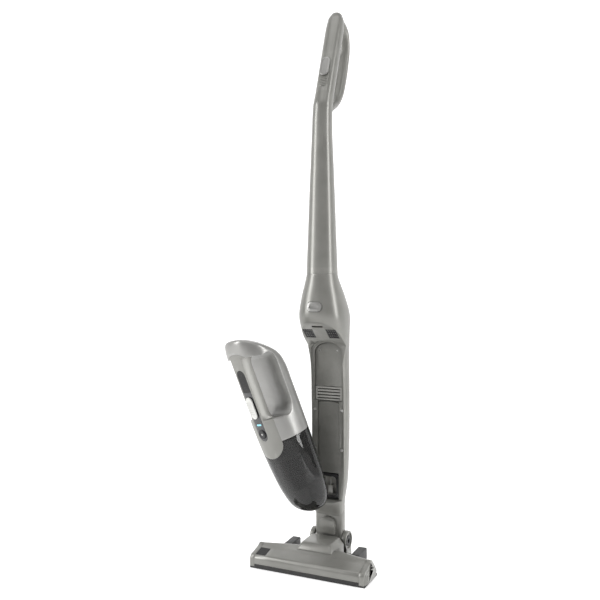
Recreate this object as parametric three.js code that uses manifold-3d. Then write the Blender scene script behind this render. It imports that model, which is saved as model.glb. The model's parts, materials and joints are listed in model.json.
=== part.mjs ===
// Cordless stick vacuum with a hand unit that tips forward out of the stick.
// Millimetres, +Z up, -Y to the front. The origin is on the floor, straight under the head's tilt pivot.
import * as THREE from "three";
import { mergeVertices } from "three/addons/utils/BufferGeometryUtils.js";
import Module from "manifold-3d";

const wasm = await Module();
wasm.setup();

// ---------- driving dimensions ----------
const WALL = 2.4; // moulded wall
const GAP = 0.3; // between fixed neighbours
const RUN = 0.8; // around what moves

// floor head
const HEAD_WIDTH = 250;
const HEAD_FRONT = -95;
const HEAD_REAR = -20;
const HEAD_TOP = 40;
const LIP_TOP = 25; // top of the upright front face
const CAP_WIDTH = 12.5;
const SOLE = 4;
const BRUSH_RADIUS = 14;
const BRUSH_Y = -70;
const BRUSH_Z = 14.4;
const BRISTLE_ROWS = 4;
const DRIVE_Y = -45; // the brush motor's shaft
const DRIVE_Z = 20;
const WHEEL_RADIUS = 11;
const WHEEL_X = 75.5;
const WHEEL_Y = 18;
const ROLLER_RADIUS = 6;
const ROLLER_X = 90;
const ROLLER_Y = -34;

// tilt pivot and neck
const PIVOT_Y = 39;
const PIVOT_Z = 37;
const BARREL_RADIUS = 17;
const NECK_HALF = 30.5;
const NECK_FRONT = 24;
const NECK_REAR = 50;
const EAR_THICK = 10;
const EAR_RADIUS = 20;
const SEAM_Z = 94; // front of the slanted swivel seam
const SEAM_RISE = 17;

// stick: a dished spine that the hand unit lies in, a shoulder, a tube and a handle
const SPINE_HALF = 41;
const SPINE_REAR = 62;
const RIM_Y = 16; // front of the dish's rims
const LEDGE_Y = 24; // the ledge inside the rims
const DISH_Y = 33; // the dish's floor
const DISH_BOTTOM = 118;
const DISH_TOP = 449;
const LIP_FRONT_Z = 503; // the shoulder's front lip
const SHOULDER_HALF = 49.5;
const SHOULDER_FRONT = -50;
const COVER_SEAM = 598; // between the shoulder and the tube
const TUBE_Y = -8;
const TUBE_FOOT = 31.5; // half width at the seam
const TUBE_HEAD = 20.5; // half width under the handle
const BEND_Z = 935;
const GRIP_LEAN = 20; // degrees
const GRIP_LENGTH = 245;
const SLIDER_AT = 96; // the slider's middle, along the handle from the bend

// hand unit, as it lies docked
const UNIT_BOTTOM = 118;
const UNIT_HALF = 54;
const UNIT_FRONT = -74;
const UNIT_REAR = 24;
const BIN_TOP = 287;
const TONGUE_BOTTOM = 253; // the motor housing's front tongue reaches down over the bin
const TIP_X = -28; // the corner of its nose that it tips and turns about
const TIP_Y = 10;
const TIP_Z = 122;
const TIP_ANGLE = 12; // how far it is tipped forward, in degrees
const TURN_ANGLE = 24; // how far it is turned to the left as it comes out of the dock
const LEAN_ANGLE = 12; // and how far it leans over to that side

// ---------- small tools ----------
const v3 = (x, y, z) => new THREE.Vector3(x, y, z);

function toSolid(geometry) {
  const bare = geometry.clone();
  for (const name of Object.keys(bare.attributes)) if (name !== "position") bare.deleteAttribute(name);
  const merged = mergeVertices(bare, 1e-4);
  const triVerts = new Uint32Array(merged.index.array);
  return new wasm.Manifold(
    new wasm.Mesh({ numProp: 3, vertProperties: merged.attributes.position.array, triVerts }),
  );
}

function toGeometry(solid) {
  const mesh = solid.getMesh();
  const geometry = new THREE.BufferGeometry();
  geometry.setAttribute("position", new THREE.BufferAttribute(new Float32Array(mesh.vertProperties), 3));
  geometry.setIndex(new THREE.BufferAttribute(new Uint32Array(mesh.triVerts), 1));
  return geometry;
}

const cut = (body, ...tools) => tools.reduce((left, tool) => left.subtract(tool), body);
const join = (body, ...more) => more.reduce((left, piece) => left.add(piece), body);

// Rings of points, each {flat: [Vector2], place: (u, v) => Vector3}, skinned into one closed solid.
function loft(rings) {
  const count = rings[0].flat.length;
  const turned = THREE.ShapeUtils.isClockWise(rings[0].flat);
  for (const ring of rings) if (turned) ring.flat.reverse();
  const points = rings.flatMap((ring) => ring.flat.map((p) => ring.place(p.x, p.y)));
  const faces = [];
  for (let r = 0; r + 1 < rings.length; r++) {
    for (let i = 0; i < count; i++) {
      const a = r * count + i;
      const b = r * count + ((i + 1) % count);
      faces.push([a, b, b + count], [a, b + count, a + count]);
    }
  }
  const last = (rings.length - 1) * count;
  for (const [a, b, c] of THREE.ShapeUtils.triangulateShape(rings[0].flat, [])) faces.push([c, b, a]);
  for (const [a, b, c] of THREE.ShapeUtils.triangulateShape(rings.at(-1).flat, []))
    faces.push([last + a, last + b, last + c]);
  const volume = faces.reduce((sum, [a, b, c]) => {
    return sum + points[a].dot(points[b].clone().cross(points[c]));
  }, 0);
  const index = volume < 0 ? faces.map(([a, b, c]) => [a, c, b]) : faces;
  const geometry = new THREE.BufferGeometry();
  geometry.setAttribute("position", new THREE.Float32BufferAttribute(points.flatMap((p) => p.toArray()), 3));
  geometry.setIndex(index.flat());
  return toSolid(geometry);
}

// A squared-off ellipse: half width w, from front to back in depth, exponent n.
function oval(w, front, back, n, count = 24) {
  const middle = (front + back) / 2;
  const half = (back - front) / 2;
  return Array.from({ length: count }, (_, i) => {
    const t = ((i + 0.5) / count) * 2 * Math.PI;
    const c = Math.cos(t);
    const s = Math.sin(t);
    return new THREE.Vector2(
      w * Math.sign(c) * Math.abs(c) ** (2 / n),
      middle + half * Math.sign(s) * Math.abs(s) ** (2 / n),
    );
  });
}

const level = (z, lean = 0) => (u, v) => v3(u, v, z + v * lean);

// Stations {z, w, front, back, n} turned into a smooth closed body by a curve through them.
function body(stations, steps, shrink = 0, lean = 0, count = 24) {
  const line = (key) =>
    new THREE.CatmullRomCurve3(
      stations.map((s) => v3(s.z, s[key], 0)),
      false,
      "centripetal",
    );
  const lines = { w: line("w"), front: line("front"), back: line("back"), n: line("n") };
  const rings = [];
  for (let i = 0; i <= steps; i++) {
    const t = i / steps;
    const at = (key) => lines[key].getPoint(t).y;
    const z = lines.w.getPoint(t).x;
    rings.push({
      flat: oval(at("w") - shrink, at("front") + shrink, at("back") - shrink, at("n"), count),
      place: level(z, lean),
    });
  }
  return loft(rings);
}

function extrude(shape, depth, basis, curveSegments = 4) {
  const geometry = new THREE.ExtrudeGeometry(shape, { depth, bevelEnabled: false, curveSegments });
  geometry.applyMatrix4(basis);
  return toSolid(geometry);
}
const Y_Z_X = new THREE.Matrix4().makeBasis(v3(0, 1, 0), v3(0, 0, 1), v3(1, 0, 0));
const X_Z_Y = new THREE.Matrix4().makeBasis(v3(1, 0, 0), v3(0, 0, 1), v3(0, -1, 0));
// A (y, z) outline from x0 to x1, an (x, z) outline from y0 to y1 and an (x, y) outline from z0 to z1.
const alongX = (shape, x0, x1, seg) =>
  extrude(shape, x1 - x0, Y_Z_X.clone().premultiply(new THREE.Matrix4().makeTranslation(x0, 0, 0)), seg);
const alongY = (shape, y0, y1, seg) =>
  extrude(shape, y1 - y0, X_Z_Y.clone().premultiply(new THREE.Matrix4().makeTranslation(0, y1, 0)), seg);
const alongZ = (shape, z0, z1, seg) =>
  extrude(shape, z1 - z0, new THREE.Matrix4().makeTranslation(0, 0, z0), seg);

function box(x0, x1, y0, y1, z0, z1) {
  const geometry = new THREE.BoxGeometry(x1 - x0, y1 - y0, z1 - z0);
  geometry.translate((x0 + x1) / 2, (y0 + y1) / 2, (z0 + z1) / 2);
  return toSolid(geometry);
}

function rod(axis, radius, from, to, a, b, segments = 16, endRadius = radius) {
  const geometry = new THREE.CylinderGeometry(endRadius, radius, to - from, segments);
  geometry.translate(0, (from + to) / 2, 0);
  if (axis === "x") geometry.rotateZ(-Math.PI / 2).translate(0, a, b);
  if (axis === "y") geometry.translate(a, 0, b);
  if (axis === "z") geometry.rotateX(Math.PI / 2).translate(a, b, 0);
  return toSolid(geometry);
}

function rounded(w, h, r, cx = 0, cy = 0) {
  const shape = new THREE.Shape();
  const [x, y] = [w / 2 - r, h / 2 - r];
  shape.absarc(cx + x, cy + y, r, 0, Math.PI / 2);
  shape.absarc(cx - x, cy + y, r, Math.PI / 2, Math.PI);
  shape.absarc(cx - x, cy - y, r, Math.PI, 1.5 * Math.PI);
  shape.absarc(cx + x, cy - y, r, 1.5 * Math.PI, 2 * Math.PI);
  return shape;
}

function outline(points) {
  const shape = new THREE.Shape();
  points.forEach(([x, y], i) => (i ? shape.lineTo(x, y) : shape.moveTo(x, y)));
  return shape;
}

// Turns a solid about a line along X through (y, z).
const turnX = (solid, angle, y, z) =>
  solid.translate([0, -y, -z]).rotate([THREE.MathUtils.radToDeg(angle), 0, 0]).translate([0, y, z]);

const plastic = (color, roughness = 0.4, metalness = 0) =>
  new THREE.MeshStandardMaterial({ color, roughness, metalness });
const GREY = plastic(0x87877f, 0.35, 0.3);
const PALE = plastic(0xa9a9a4, 0.35, 0.3);
const DARK = plastic(0x1b1b1c, 0.5);
const RUBBER = plastic(0x101011, 0.8);
const SILVER = plastic(0xd4d5d2, 0.3, 0.2);
const SMOKE = new THREE.MeshStandardMaterial({
  color: 0x2d2d30, roughness: 0.1, transparent: true, opacity: 0.5,
});
const STEEL = plastic(0x9a9b9c, 0.3, 1);
const WHITE = plastic(0xe6e7e4, 0.6);
const LIGHT = plastic(0x8fd0dc, 0.3);
const CELL = plastic(0x3c5f86, 0.4);

const vacuum = new THREE.Group();
function add(name, solid, material, parent = vacuum) {
  const mesh = new THREE.Mesh(toGeometry(solid), material);
  mesh.name = name;
  parent.add(mesh);
}

// ---------- floor head ----------
const capInner = HEAD_WIDTH / 2 - CAP_WIDTH;
const soleTop = SOLE + GAP;

// The head's (y, z) outline at a distance x from the middle; it gets shallower towards its ends.
function headRing(x, inset = 0, low = soleTop) {
  const side = THREE.MathUtils.clamp((Math.abs(x) - 50) / 60, 0, 1);
  const rearTop = THREE.MathUtils.lerp(HEAD_REAR - 8, HEAD_REAR - 25, side) - inset;
  const front = HEAD_FRONT + inset;
  const top = HEAD_TOP - inset;
  const flat = [
    [front, low], [front, LIP_TOP - 3], [front + 1, LIP_TOP - inset * 0.5], [front + 5, LIP_TOP + 3 - inset],
    [front + 32, top - 5.5], [front + 38, top - 3.5], [rearTop - 7, top], [rearTop - 2, top - 1],
    [rearTop + 1, top - 5], [HEAD_REAR - inset, 12], [HEAD_REAR - inset, low],
  ].map(([y, z]) => new THREE.Vector2(y, z));
  return { flat, place: (u, v) => v3(x, u, v) };
}
const headBody = (xs, inset, low) => loft(xs.map((x) => headRing(x, inset, low)));
const belly = [-capInner + GAP, -50, 50, capInner - GAP];

function solePlate() {
  const plate = box(1 - HEAD_WIDTH / 2, HEAD_WIDTH / 2 - 1, HEAD_FRONT + 3, HEAD_REAR, 0, SOLE);
  const web = box(-WHEEL_X - 8.5, WHEEL_X + 8.5, HEAD_REAR - 2, WHEEL_Y + 14, 0, SOLE);
  const foot = box(-NECK_HALF - EAR_THICK - 4, NECK_HALF + EAR_THICK + 4, 0, PIVOT_Y + 16, 0, SOLE);
  const arms = [-1, 1].map((side) => {
    const shape = outline([
      [HEAD_REAR + GAP, 0], [WHEEL_Y + 14, 0], [WHEEL_Y + 14, 29], [WHEEL_Y + 11, 32.5],
      [HEAD_REAR + 4, 31], [HEAD_REAR + GAP, 28],
    ]);
    return alongX(shape, side * WHEEL_X - 8.5, side * WHEEL_X + 8.5);
  });
  const rooms = [-1, 1].flatMap((side) => [
    rod("x", WHEEL_RADIUS + 1.4, side * WHEEL_X - 5.5, side * WHEEL_X + 5.5, WHEEL_Y, WHEEL_RADIUS, 16),
    box(side * WHEEL_X - 5.5, side * WHEEL_X + 5.5, WHEEL_Y - 12.4, WHEEL_Y + 12.4, -1, WHEEL_RADIUS),
    rod("x", 2.5, side * WHEEL_X - 7.8, side * WHEEL_X + 7.8, WHEEL_Y, WHEEL_RADIUS, 12),
    box(side * ROLLER_X - 7.8, side * ROLLER_X + 7.8, ROLLER_Y - 7, ROLLER_Y + 7, -1, SOLE + 1),
  ]);
  const slot = box(-capInner + 4, capInner - 4, BRUSH_Y - 15, BRUSH_Y + 15, -1, SOLE + 1);
  return cut(join(plate, web, foot, ...arms), slot, ...rooms);
}

// The dark textured inlay at the left end of the sloping front band.
function inlay(grow) {
  const x0 = -capInner + GAP;
  const skin = cut(headBody([x0 - grow, x0 + 22 + grow], -0.2), headBody([x0 - 5, x0 + 40], 1.2, -5));
  return skin.intersect(box(-200, 0, HEAD_FRONT + 6 - grow, HEAD_FRONT + 30 + grow, 20, 60));
}

function headCover() {
  const shell = cut(headBody(belly), headBody([-capInner - 1, -50, 50, capInner + 1], WALL, 0));
  const bumper = box(-200, 200, HEAD_FRONT - 1, HEAD_FRONT + 2.6, -1, BUMPER_TOP + GAP);
  const port = box(-14, 14, HEAD_REAR - 12, HEAD_REAR + 5, 10, 26);
  return cut(shell, bumper, inlay(GAP), port);
}
const BUMPER_TOP = 10;

function endCap(side) {
  const x0 = capInner;
  const x1 = HEAD_WIDTH / 2;
  const cap = loft([[x0, 0], [x1 - 3.5, 0], [x1 - 1, 1], [x1, 3]].map(([x, inset]) => headRing(x, inset)));
  const ribs = [30, 21, 12].map((reach, k) => {
    const arch = (r) => {
      const shape = new THREE.Shape();
      const y = HEAD_FRONT + 36;
      shape.moveTo(y - r, soleTop);
      shape.lineTo(y + r, soleTop);
      shape.lineTo(y + r, 6);
      shape.absellipse(y, 6, r, r * 0.8, 0, Math.PI);
      return shape;
    };
    return cut(alongX(arch(reach), x1 - 3, x1 + 0.6 + k * 0.8), alongX(arch(reach - 2.6), x1 - 4, x1 + 4));
  });
  const pocket = cut(headBody([x0 - 1, x0 + 7], WALL, 0));
  const bearing = rod("x", BRUSH_AXLE + 0.3, x0, x1 - 3, BRUSH_Y, BRUSH_Z, 12);
  const finished = cut(join(cap, ...ribs), pocket, bearing, box(0, 200, HEAD_FRONT - 5, 0, -5, soleTop));
  return side > 0 ? finished : finished.mirror([1, 0, 0]);
}
const BRUSH_AXLE = 2.6;
const BRUSH_PULLEY = 5.3;
const PULLEY_RADIUS = 4;
const beltX = capInner - 7;

function brushRoller() {
  const core = rod("x", BRUSH_RADIUS - 5.5, -capInner + 6, capInner - 14, BRUSH_Y, BRUSH_Z, 16);
  const axle = rod("x", BRUSH_AXLE, -HEAD_WIDTH / 2 + 5, HEAD_WIDTH / 2 - 5, BRUSH_Y, BRUSH_Z, 12);
  const rows = Array.from({ length: BRISTLE_ROWS }, (_, k) => {
    const rings = Array.from({ length: 8 }, (_, i) => {
      const x = THREE.MathUtils.lerp(-capInner + 7, capInner - 15, i / 7);
      const turn = (k / BRISTLE_ROWS) * 2 * Math.PI + (i / 7) * Math.PI;
      const place = (r, w) =>
        v3(x, BRUSH_Y + r * Math.cos(turn) - w * Math.sin(turn), BRUSH_Z + r * Math.sin(turn) + w * Math.cos(turn));
      const flat = [[BRUSH_RADIUS - 7, -1.8], [BRUSH_RADIUS, -1.2], [BRUSH_RADIUS, 1.2], [BRUSH_RADIUS - 7, 1.8]];
      return { flat: flat.map(([r, w]) => new THREE.Vector2(r, w)), place };
    });
    return loft(rings);
  });
  const pulley = rod("x", BRUSH_PULLEY, beltX - 3, beltX + 3, BRUSH_Y, BRUSH_Z, 16);
  return join(core, axle, pulley, ...rows);
}

function driveBelt() {
  const lean = Math.atan2(DRIVE_Z - BRUSH_Z, DRIVE_Y - BRUSH_Y);
  const loop = (grow) => {
    const shape = new THREE.Shape();
    shape.absarc(BRUSH_Y, BRUSH_Z, BRUSH_PULLEY + GAP + grow, lean + Math.PI / 2, lean + 1.5 * Math.PI);
    shape.absarc(DRIVE_Y, DRIVE_Z, PULLEY_RADIUS + GAP + grow, lean - Math.PI / 2, lean + Math.PI / 2);
    return shape;
  };
  return cut(alongX(loop(1.1), beltX - 2.5, beltX + 2.5), alongX(loop(0), beltX - 4, beltX + 4));
}

function jointHood() {
  const ring = (halfX, y0, y1, z) => ({
    flat: rounded(2 * halfX, y1 - y0, 4, 0, (y0 + y1) / 2).getPoints(3),
    place: level(z),
  });
  const rear = PIVOT_Y - EAR_RADIUS - 2;
  const outer = loft([ring(40, -53, rear, soleTop), ring(39.5, -52, rear, 38), ring(31, -40, rear - 3, 51)]);
  const inner = loft([
    ring(37.6, -50.6, rear + 20, soleTop - 1),
    ring(37.1, -49.6, rear + 20, 37.5),
    ring(28.6, -37.6, rear + 20, 48.6),
  ]);
  const under = headBody([-60, -50, 50, 60], -GAP, -5);
  return cut(outer, inner, under, rod("x", EAR_RADIUS + 1, -60, 60, PIVOT_Y, PIVOT_Z, 20));
}

function pivotEar(side) {
  const x0 = NECK_HALF + RUN;
  const x1 = x0 + EAR_THICK;
  const disc = rod("x", EAR_RADIUS, x0, x1, PIVOT_Y, PIVOT_Z, 20);
  const leg = box(x0, x1, PIVOT_Y - 14, PIVOT_Y + 14, soleTop, PIVOT_Z);
  const recess = rod("x", EAR_RADIUS - 4, x1 - 3, x1 + 1, PIVOT_Y, PIVOT_Z, 20);
  const bore = rod("x", PIN_RADIUS + GAP, x0 - 1, x1 + 1, PIVOT_Y, PIVOT_Z, 16);
  const ear = cut(join(disc, leg), recess, bore);
  return side > 0 ? ear : ear.mirror([1, 0, 0]);
}
const PIN_RADIUS = 7;

function pivotPin(side) {
  const x1 = NECK_HALF + RUN + EAR_THICK;
  const shank = rod("x", PIN_RADIUS, NECK_HALF - 7, x1 - 3, PIVOT_Y, PIVOT_Z, 16);
  const head = rod("x", PIN_RADIUS + 4, x1 - 3 + GAP, x1 - 0.6, PIVOT_Y, PIVOT_Z, 16);
  const neck = rod("x", PIN_RADIUS - 1, x1 - 4, x1 - 2, PIVOT_Y, PIVOT_Z, 16);
  const socket = rod("x", PIN_RADIUS - 2, x1 - 6, x1 + 1, PIVOT_Y, PIVOT_Z, 6);
  const pin = cut(join(shank, neck, head), socket);
  return side > 0 ? pin : pin.mirror([1, 0, 0]);
}

function rearWheel(side) {
  const tread = rod("x", WHEEL_RADIUS, side * WHEEL_X - 4.7, side * WHEEL_X + 4.7, WHEEL_Y, WHEEL_RADIUS, 20);
  return join(tread, rod("x", 2.2, side * WHEEL_X - 7.2, side * WHEEL_X + 7.2, WHEEL_Y, WHEEL_RADIUS, 12));
}

add("sole_plate", solePlate(), GREY);
add("head_cover", headCover(), GREY);
add("cover_inlay", inlay(0), DARK);
add("end_cap_left", endCap(-1), GREY);
add("end_cap_right", endCap(1), GREY);
add(
  "front_bumper",
  box(-capInner + GAP, capInner - GAP, HEAD_FRONT - 0.6, HEAD_FRONT + 2.3, soleTop, BUMPER_TOP), RUBBER,
);
add("joint_hood", jointHood(), GREY);
add("pivot_ear_left", pivotEar(-1), GREY);
add("pivot_ear_right", pivotEar(1), GREY);
add("pivot_pin_left", pivotPin(-1), DARK);
add("pivot_pin_right", pivotPin(1), DARK);
add("brush_roller", brushRoller(), DARK);
add("brush_motor", rod("x", 9, 20, 80, DRIVE_Y, DRIVE_Z, 24), STEEL);
add(
  "motor_pulley",
  join(
    rod("x", 1.6, 80.4, beltX, DRIVE_Y, DRIVE_Z, 10),
    rod("x", PULLEY_RADIUS, beltX - 3, beltX + 3, DRIVE_Y, DRIVE_Z, 16),
  ),
  WHITE,
);
add("drive_belt", driveBelt(), RUBBER);
add("rear_wheel_left", rearWheel(-1), RUBBER);
add("rear_wheel_right", rearWheel(1), RUBBER);
for (const [name, side] of [["front_roller_left", -1], ["front_roller_right", 1]])
  add(name, rod("x", ROLLER_RADIUS, side * ROLLER_X - 7, side * ROLLER_X + 7, ROLLER_Y, ROLLER_RADIUS, 20), RUBBER);

// ---------- neck ----------
const seamLean = Math.atan2(SEAM_RISE, NECK_REAR - NECK_FRONT);
const seamMiddle = [0, (NECK_FRONT + NECK_REAR) / 2, SEAM_Z + SEAM_RISE / 2];
// Solids drawn upright about the origin, moved to stand on the swivel seam.
const onSeam = (solid) => solid.rotate([THREE.MathUtils.radToDeg(seamLean), 0, 0]).translate(seamMiddle);
const belowSeam = () => onSeam(box(-300, 300, -300, 300, -300, -RUN / 2));
const aboveSeam = () => onSeam(box(-300, 300, -900, 900, RUN / 2, 1800));
const collarRadius = 10.5;

function neckYoke() {
  const barrel = rod("x", BARREL_RADIUS, -NECK_HALF, NECK_HALF, PIVOT_Y, PIVOT_Z, 20);
  const ring = (z, w, f, b) => ({ flat: oval(w, f, b, 5, 20), place: level(z) });
  const column = loft([
    ring(PIVOT_Z + 4, NECK_HALF, NECK_FRONT + 2, NECK_REAR),
    ring(SEAM_Z + 40, NECK_HALF, NECK_FRONT, NECK_REAR),
  ]);
  const barrelRoom = rod("x", BARREL_RADIUS - 4, -NECK_HALF + 9, NECK_HALF - 9, PIVOT_Y, PIVOT_Z, 16);
  const columnRoom = loft([
    ring(PIVOT_Z + 2, NECK_HALF - 9, NECK_FRONT + 5, NECK_REAR - 4),
    ring(SEAM_Z - 14, NECK_HALF - 9, NECK_FRONT + 4, NECK_REAR - 4),
  ]);
  const mouth = box(-15, 15, PIVOT_Y - 30, PIVOT_Y, PIVOT_Z - 10, PIVOT_Z + 6);
  const pins = rod("x", PIN_RADIUS + RUN, -100, 100, PIVOT_Y, PIVOT_Z, 16);
  const collar = onSeam(rod("z", collarRadius + GAP, -22, 5, 0, 0, 16));
  return cut(join(barrel, column).intersect(belowSeam()), barrelRoom, columnRoom, mouth, pins, collar);
}

// An arched plate standing out of the neck's front.
function neckTongue() {
  const shape = new THREE.Shape();
  const spring = SEAM_Z - 23; // where its arch begins
  shape.moveTo(-17.5, 54);
  shape.lineTo(17.5, 54);
  shape.lineTo(17.5, spring);
  shape.absarc(0, spring, 17.5, 0, Math.PI);
  const root = NECK_FRONT - GAP;
  const wedge = outline([[root, 52], [root - 8.7, 53], [root - 9.7, 56], [root - 8.7, SEAM_Z - 10], [root, SEAM_Z - 5]]);
  return alongY(shape, 0, NECK_FRONT - GAP, 8).intersect(alongX(wedge, -30, 30));
}

add("neck_yoke", neckYoke(), GREY);
add("neck_tongue", neckTongue(), GREY);
const collarRing = cut(rod("z", collarRadius, -14, 6, 0, 0, 16), rod("z", collarRadius - 2.5, -20, 20, 0, 0, 16));
add("swivel_collar", onSeam(collarRing), DARK);

// ---------- stick: the spine and the shoulder ----------
const SPINE = [
  { z: 60, w: NECK_HALF, front: NECK_FRONT, back: NECK_REAR, n: 5 },
  { z: 92, w: NECK_HALF, front: NECK_FRONT - 4, back: NECK_REAR, n: 4.5 },
  { z: DISH_BOTTOM + 4, w: 32, front: 13, back: 53, n: 3.6 },
  { z: 160, w: 37, front: 13, back: 59, n: 3 },
  { z: 230, w: SPINE_HALF - 1, front: 13, back: SPINE_REAR, n: 2.8 },
  { z: 330, w: SPINE_HALF, front: 12, back: SPINE_REAR, n: 2.7 },
  { z: DISH_TOP - 20, w: SPINE_HALF + 1, front: 0, back: SPINE_REAR, n: 2.6 },
  { z: 478, w: 47, front: -36, back: SPINE_REAR, n: 2.6 },
  { z: 512, w: SHOULDER_HALF, front: SHOULDER_FRONT, back: SPINE_REAR - 1, n: 2.5 },
  { z: 550, w: 43, front: SHOULDER_FRONT + 2, back: 47, n: 2.4 },
  { z: COVER_SEAM, w: TUBE_FOOT, front: TUBE_Y - TUBE_FOOT, back: TUBE_Y + TUBE_FOOT, n: 2.2 },
  { z: COVER_SEAM + 30, w: TUBE_FOOT - 0.6, front: TUBE_Y - TUBE_FOOT + 0.6, back: TUBE_Y + TUBE_FOOT - 0.6, n: 2.2 },
];
const SPINE_STEPS = 15;
const SPINE_COUNT = 24;
const spineBody = (shrink) =>
  body(SPINE, SPINE_STEPS, shrink, 0, SPINE_COUNT).intersect(box(-200, 200, -200, 200, 0, COVER_SEAM - GAP / 2));

// The hand unit's room: all that is in front of the rims and under the shoulder's slanting lip.
const lipSlope = (LIP_FRONT_Z - DISH_TOP) / (RIM_Y - SHOULDER_FRONT);
const lipZ = (y) => DISH_TOP + (RIM_Y - y) * lipSlope;
function openFront(grow) {
  const rim = RIM_Y + grow;
  return alongX(
    outline([
      [rim, DISH_BOTTOM + 6 - grow], [rim, lipZ(RIM_Y) + grow], [-140, lipZ(-140) + grow], [-140, 40], [-20, 40],
      [2, DISH_BOTTOM - 4 - grow], [RIM_Y - 3, DISH_BOTTOM - grow],
    ]),
    -120, 120,
  );
}
function arched(half, bottom, top, round = half) {
  const shape = new THREE.Shape();
  shape.moveTo(-half, bottom);
  shape.lineTo(half, bottom);
  shape.lineTo(half, top - round);
  shape.absellipse(0, top - round, half, round, 0, Math.PI);
  return shape;
}
const LOUVRE_LOW = 331;
const LOUVRE_HIGH = 360;
const ledgeHalf = 36;
const lowHalf = 24;
const highHalf = 31;
function dish(grow) {
  return join(
    alongY(arched(ledgeHalf + grow, DISH_BOTTOM + 5 - grow, DISH_TOP + 10 + grow, 20), -50, LEDGE_Y + grow),
    alongY(arched(lowHalf + grow, DISH_BOTTOM + 5 - grow, LOUVRE_LOW + 6 + grow, 4), -50, DISH_Y + grow),
    alongY(arched(highHalf + grow, LOUVRE_LOW - grow, DISH_TOP + 5 + grow, 22), -50, DISH_Y + grow),
  );
}
const screwSpots = [[-1, 229], [1, 229], [-1, 312], [1, 312]];
const screwX = 30.5;
const screwAt = (side, z, grow) =>
  join(
    rod("y", 3.2 + grow, LEDGE_Y - (grow ? 3 : 0.2), LEDGE_Y + 2 + grow, side * screwX, z, 10),
    rod("y", 1.4 + grow, LEDGE_Y, LEDGE_Y + 9 + grow, side * screwX, z, 8),
  );
const pinSpots = [-1, 1];
const chargePin = (side, grow) =>
  rod("y", 1.5 + grow, DISH_Y - 6 - (grow ? 5 : 0), DISH_Y + 4 + grow, side * 20, 437, 12);
const intakeLow = 126;
const intakeHigh = 176;

const releaseShape = (grow) => rounded(33 + 2 * grow, 19 + 2 * grow, 9.5 + grow, 0, 531);

function stickCore() {
  const outer = cut(spineBody(0).intersect(aboveSeam()), openFront(0), dish(0));
  const inside = cut(
    spineBody(WALL).intersect(box(-200, 200, -200, 200, DISH_BOTTOM + 12, 700)), openFront(WALL), dish(WALL),
  );
  const neckWay = onSeam(rod("z", collarRadius + RUN, -5, 16, 0, 0, 16));
  const riser = rod("z", collarRadius - 1, DISH_BOTTOM + 2, 140, 0, NECK_REAR - 12, 24);
  const window = alongY(rounded(37, 44, 6, 0, (intakeLow + intakeHigh) / 2), 20, DISH_Y + 18.4);
  const seamBand = box(-200, 200, -200, 200, COVER_SEAM - 8, COVER_SEAM + 5);
  const topTube = body(SPINE, SPINE_STEPS, WALL, 0, SPINE_COUNT).intersect(seamBand);
  return cut(
    outer, inside, neckWay, riser, window, topTube,
    ...screwSpots.map(([side, z]) => screwAt(side, z, GAP)),
    ...pinSpots.map((side) => chargePin(side, GAP)),
    alongY(releaseShape(RUN), -120, -20),
    ...ventPlates(GAP), slotUnderLip(),
  );
}

// Slotted plates in the hollow under the shoulder's lip, left and right.
const lipLean = THREE.MathUtils.radToDeg(Math.atan(lipSlope));
const onLip = (solid) => solid.rotate([-lipLean, 0, 0]).translate([0, -17, lipZ(-17)]);
function ventPlates(grow) {
  return [-1, 1].map((side) => {
    const [inner, outer] = [side * 26 - 11 - grow, side * 26 + 11 + grow];
    const plate = box(inner, outer, -13 - grow, 17 + grow, grow ? -4.8 : 0.2, 1.4 + grow);
    return onLip(plate);
  });
}
function ventGrille(side) {
  const plate = ventPlates(0)[(side + 1) / 2];
  const slots = Array.from({ length: 4 }, (_, k) =>
    onLip(box(side * 26 - 8.2 + k * 4.8, side * 26 - 5.6 + k * 4.8, -10, 14, -2, 4)),
  );
  return cut(plate, ...slots);
}
const slotUnderLip = () => onLip(box(-12, 12, -25, -19, -6, 6));

const splitY = 20; // the cover is in front of it, the spine behind
const stick = stickCore();
const coverSide = (gap) =>
  box(-200, 200, -200, splitY - gap, DISH_TOP + 1 + gap, 700).subtract(box(-200, 200, RIM_Y - 1, 200, 0, DISH_TOP + 14));
function largest(solid) {
  return solid.decompose().reduce((a, b) => (a.volume() > b.volume() ? a : b));
}
add("spine_shell", largest(cut(stick, coverSide(-GAP / 2))), GREY);
add("shoulder_cover", largest(stick.intersect(coverSide(GAP / 2))), GREY);
add("vent_grille_left", ventGrille(-1), DARK);
add("vent_grille_right", ventGrille(1), DARK);

const panelFront = DISH_Y - 6;
const panelBack = DISH_Y - GAP;
add(
  "dock_lower_panel",
  alongY(arched(lowHalf - 0.6, intakeHigh + 3, LOUVRE_LOW - 2, 4), panelFront - 1, panelBack),
  GREY,
);
const upperPanel = alongY(arched(highHalf - 0.6, LOUVRE_HIGH + 1, DISH_TOP + 4.4, 21.5), panelFront, panelBack, 6);
add("dock_upper_panel", cut(upperPanel, ...pinSpots.map((side) => chargePin(side, GAP))), GREY);
function louvre() {
  const frame = box(-highHalf + 0.8, highHalf - 0.8, panelFront, panelBack, LOUVRE_LOW + 1, LOUVRE_HIGH);
  const slots = Array.from({ length: 4 }, (_, k) => {
    const z = LOUVRE_LOW + 4 + k * 6.4;
    const [near, far] = [panelFront - 1, panelBack + 1];
    return alongX(outline([[near, z - 1], [far, z + 1.5], [far, z + 4.5], [near, z + 2]]), -26, 26);
  });
  return cut(frame, ...slots);
}
add("louvre_grille", louvre(), PALE);
const frameMiddle = (intakeLow + intakeHigh) / 2;
add(
  "intake_frame",
  cut(
    alongY(rounded(2 * lowHalf - 1.2, intakeHigh - intakeLow + 2, 9, 0, frameMiddle + 0.5), panelFront, panelBack),
    alongY(rounded(34, 40, 8, 0, frameMiddle), panelFront - 1, panelBack + 1),
  ),
  DARK,
);
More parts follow.
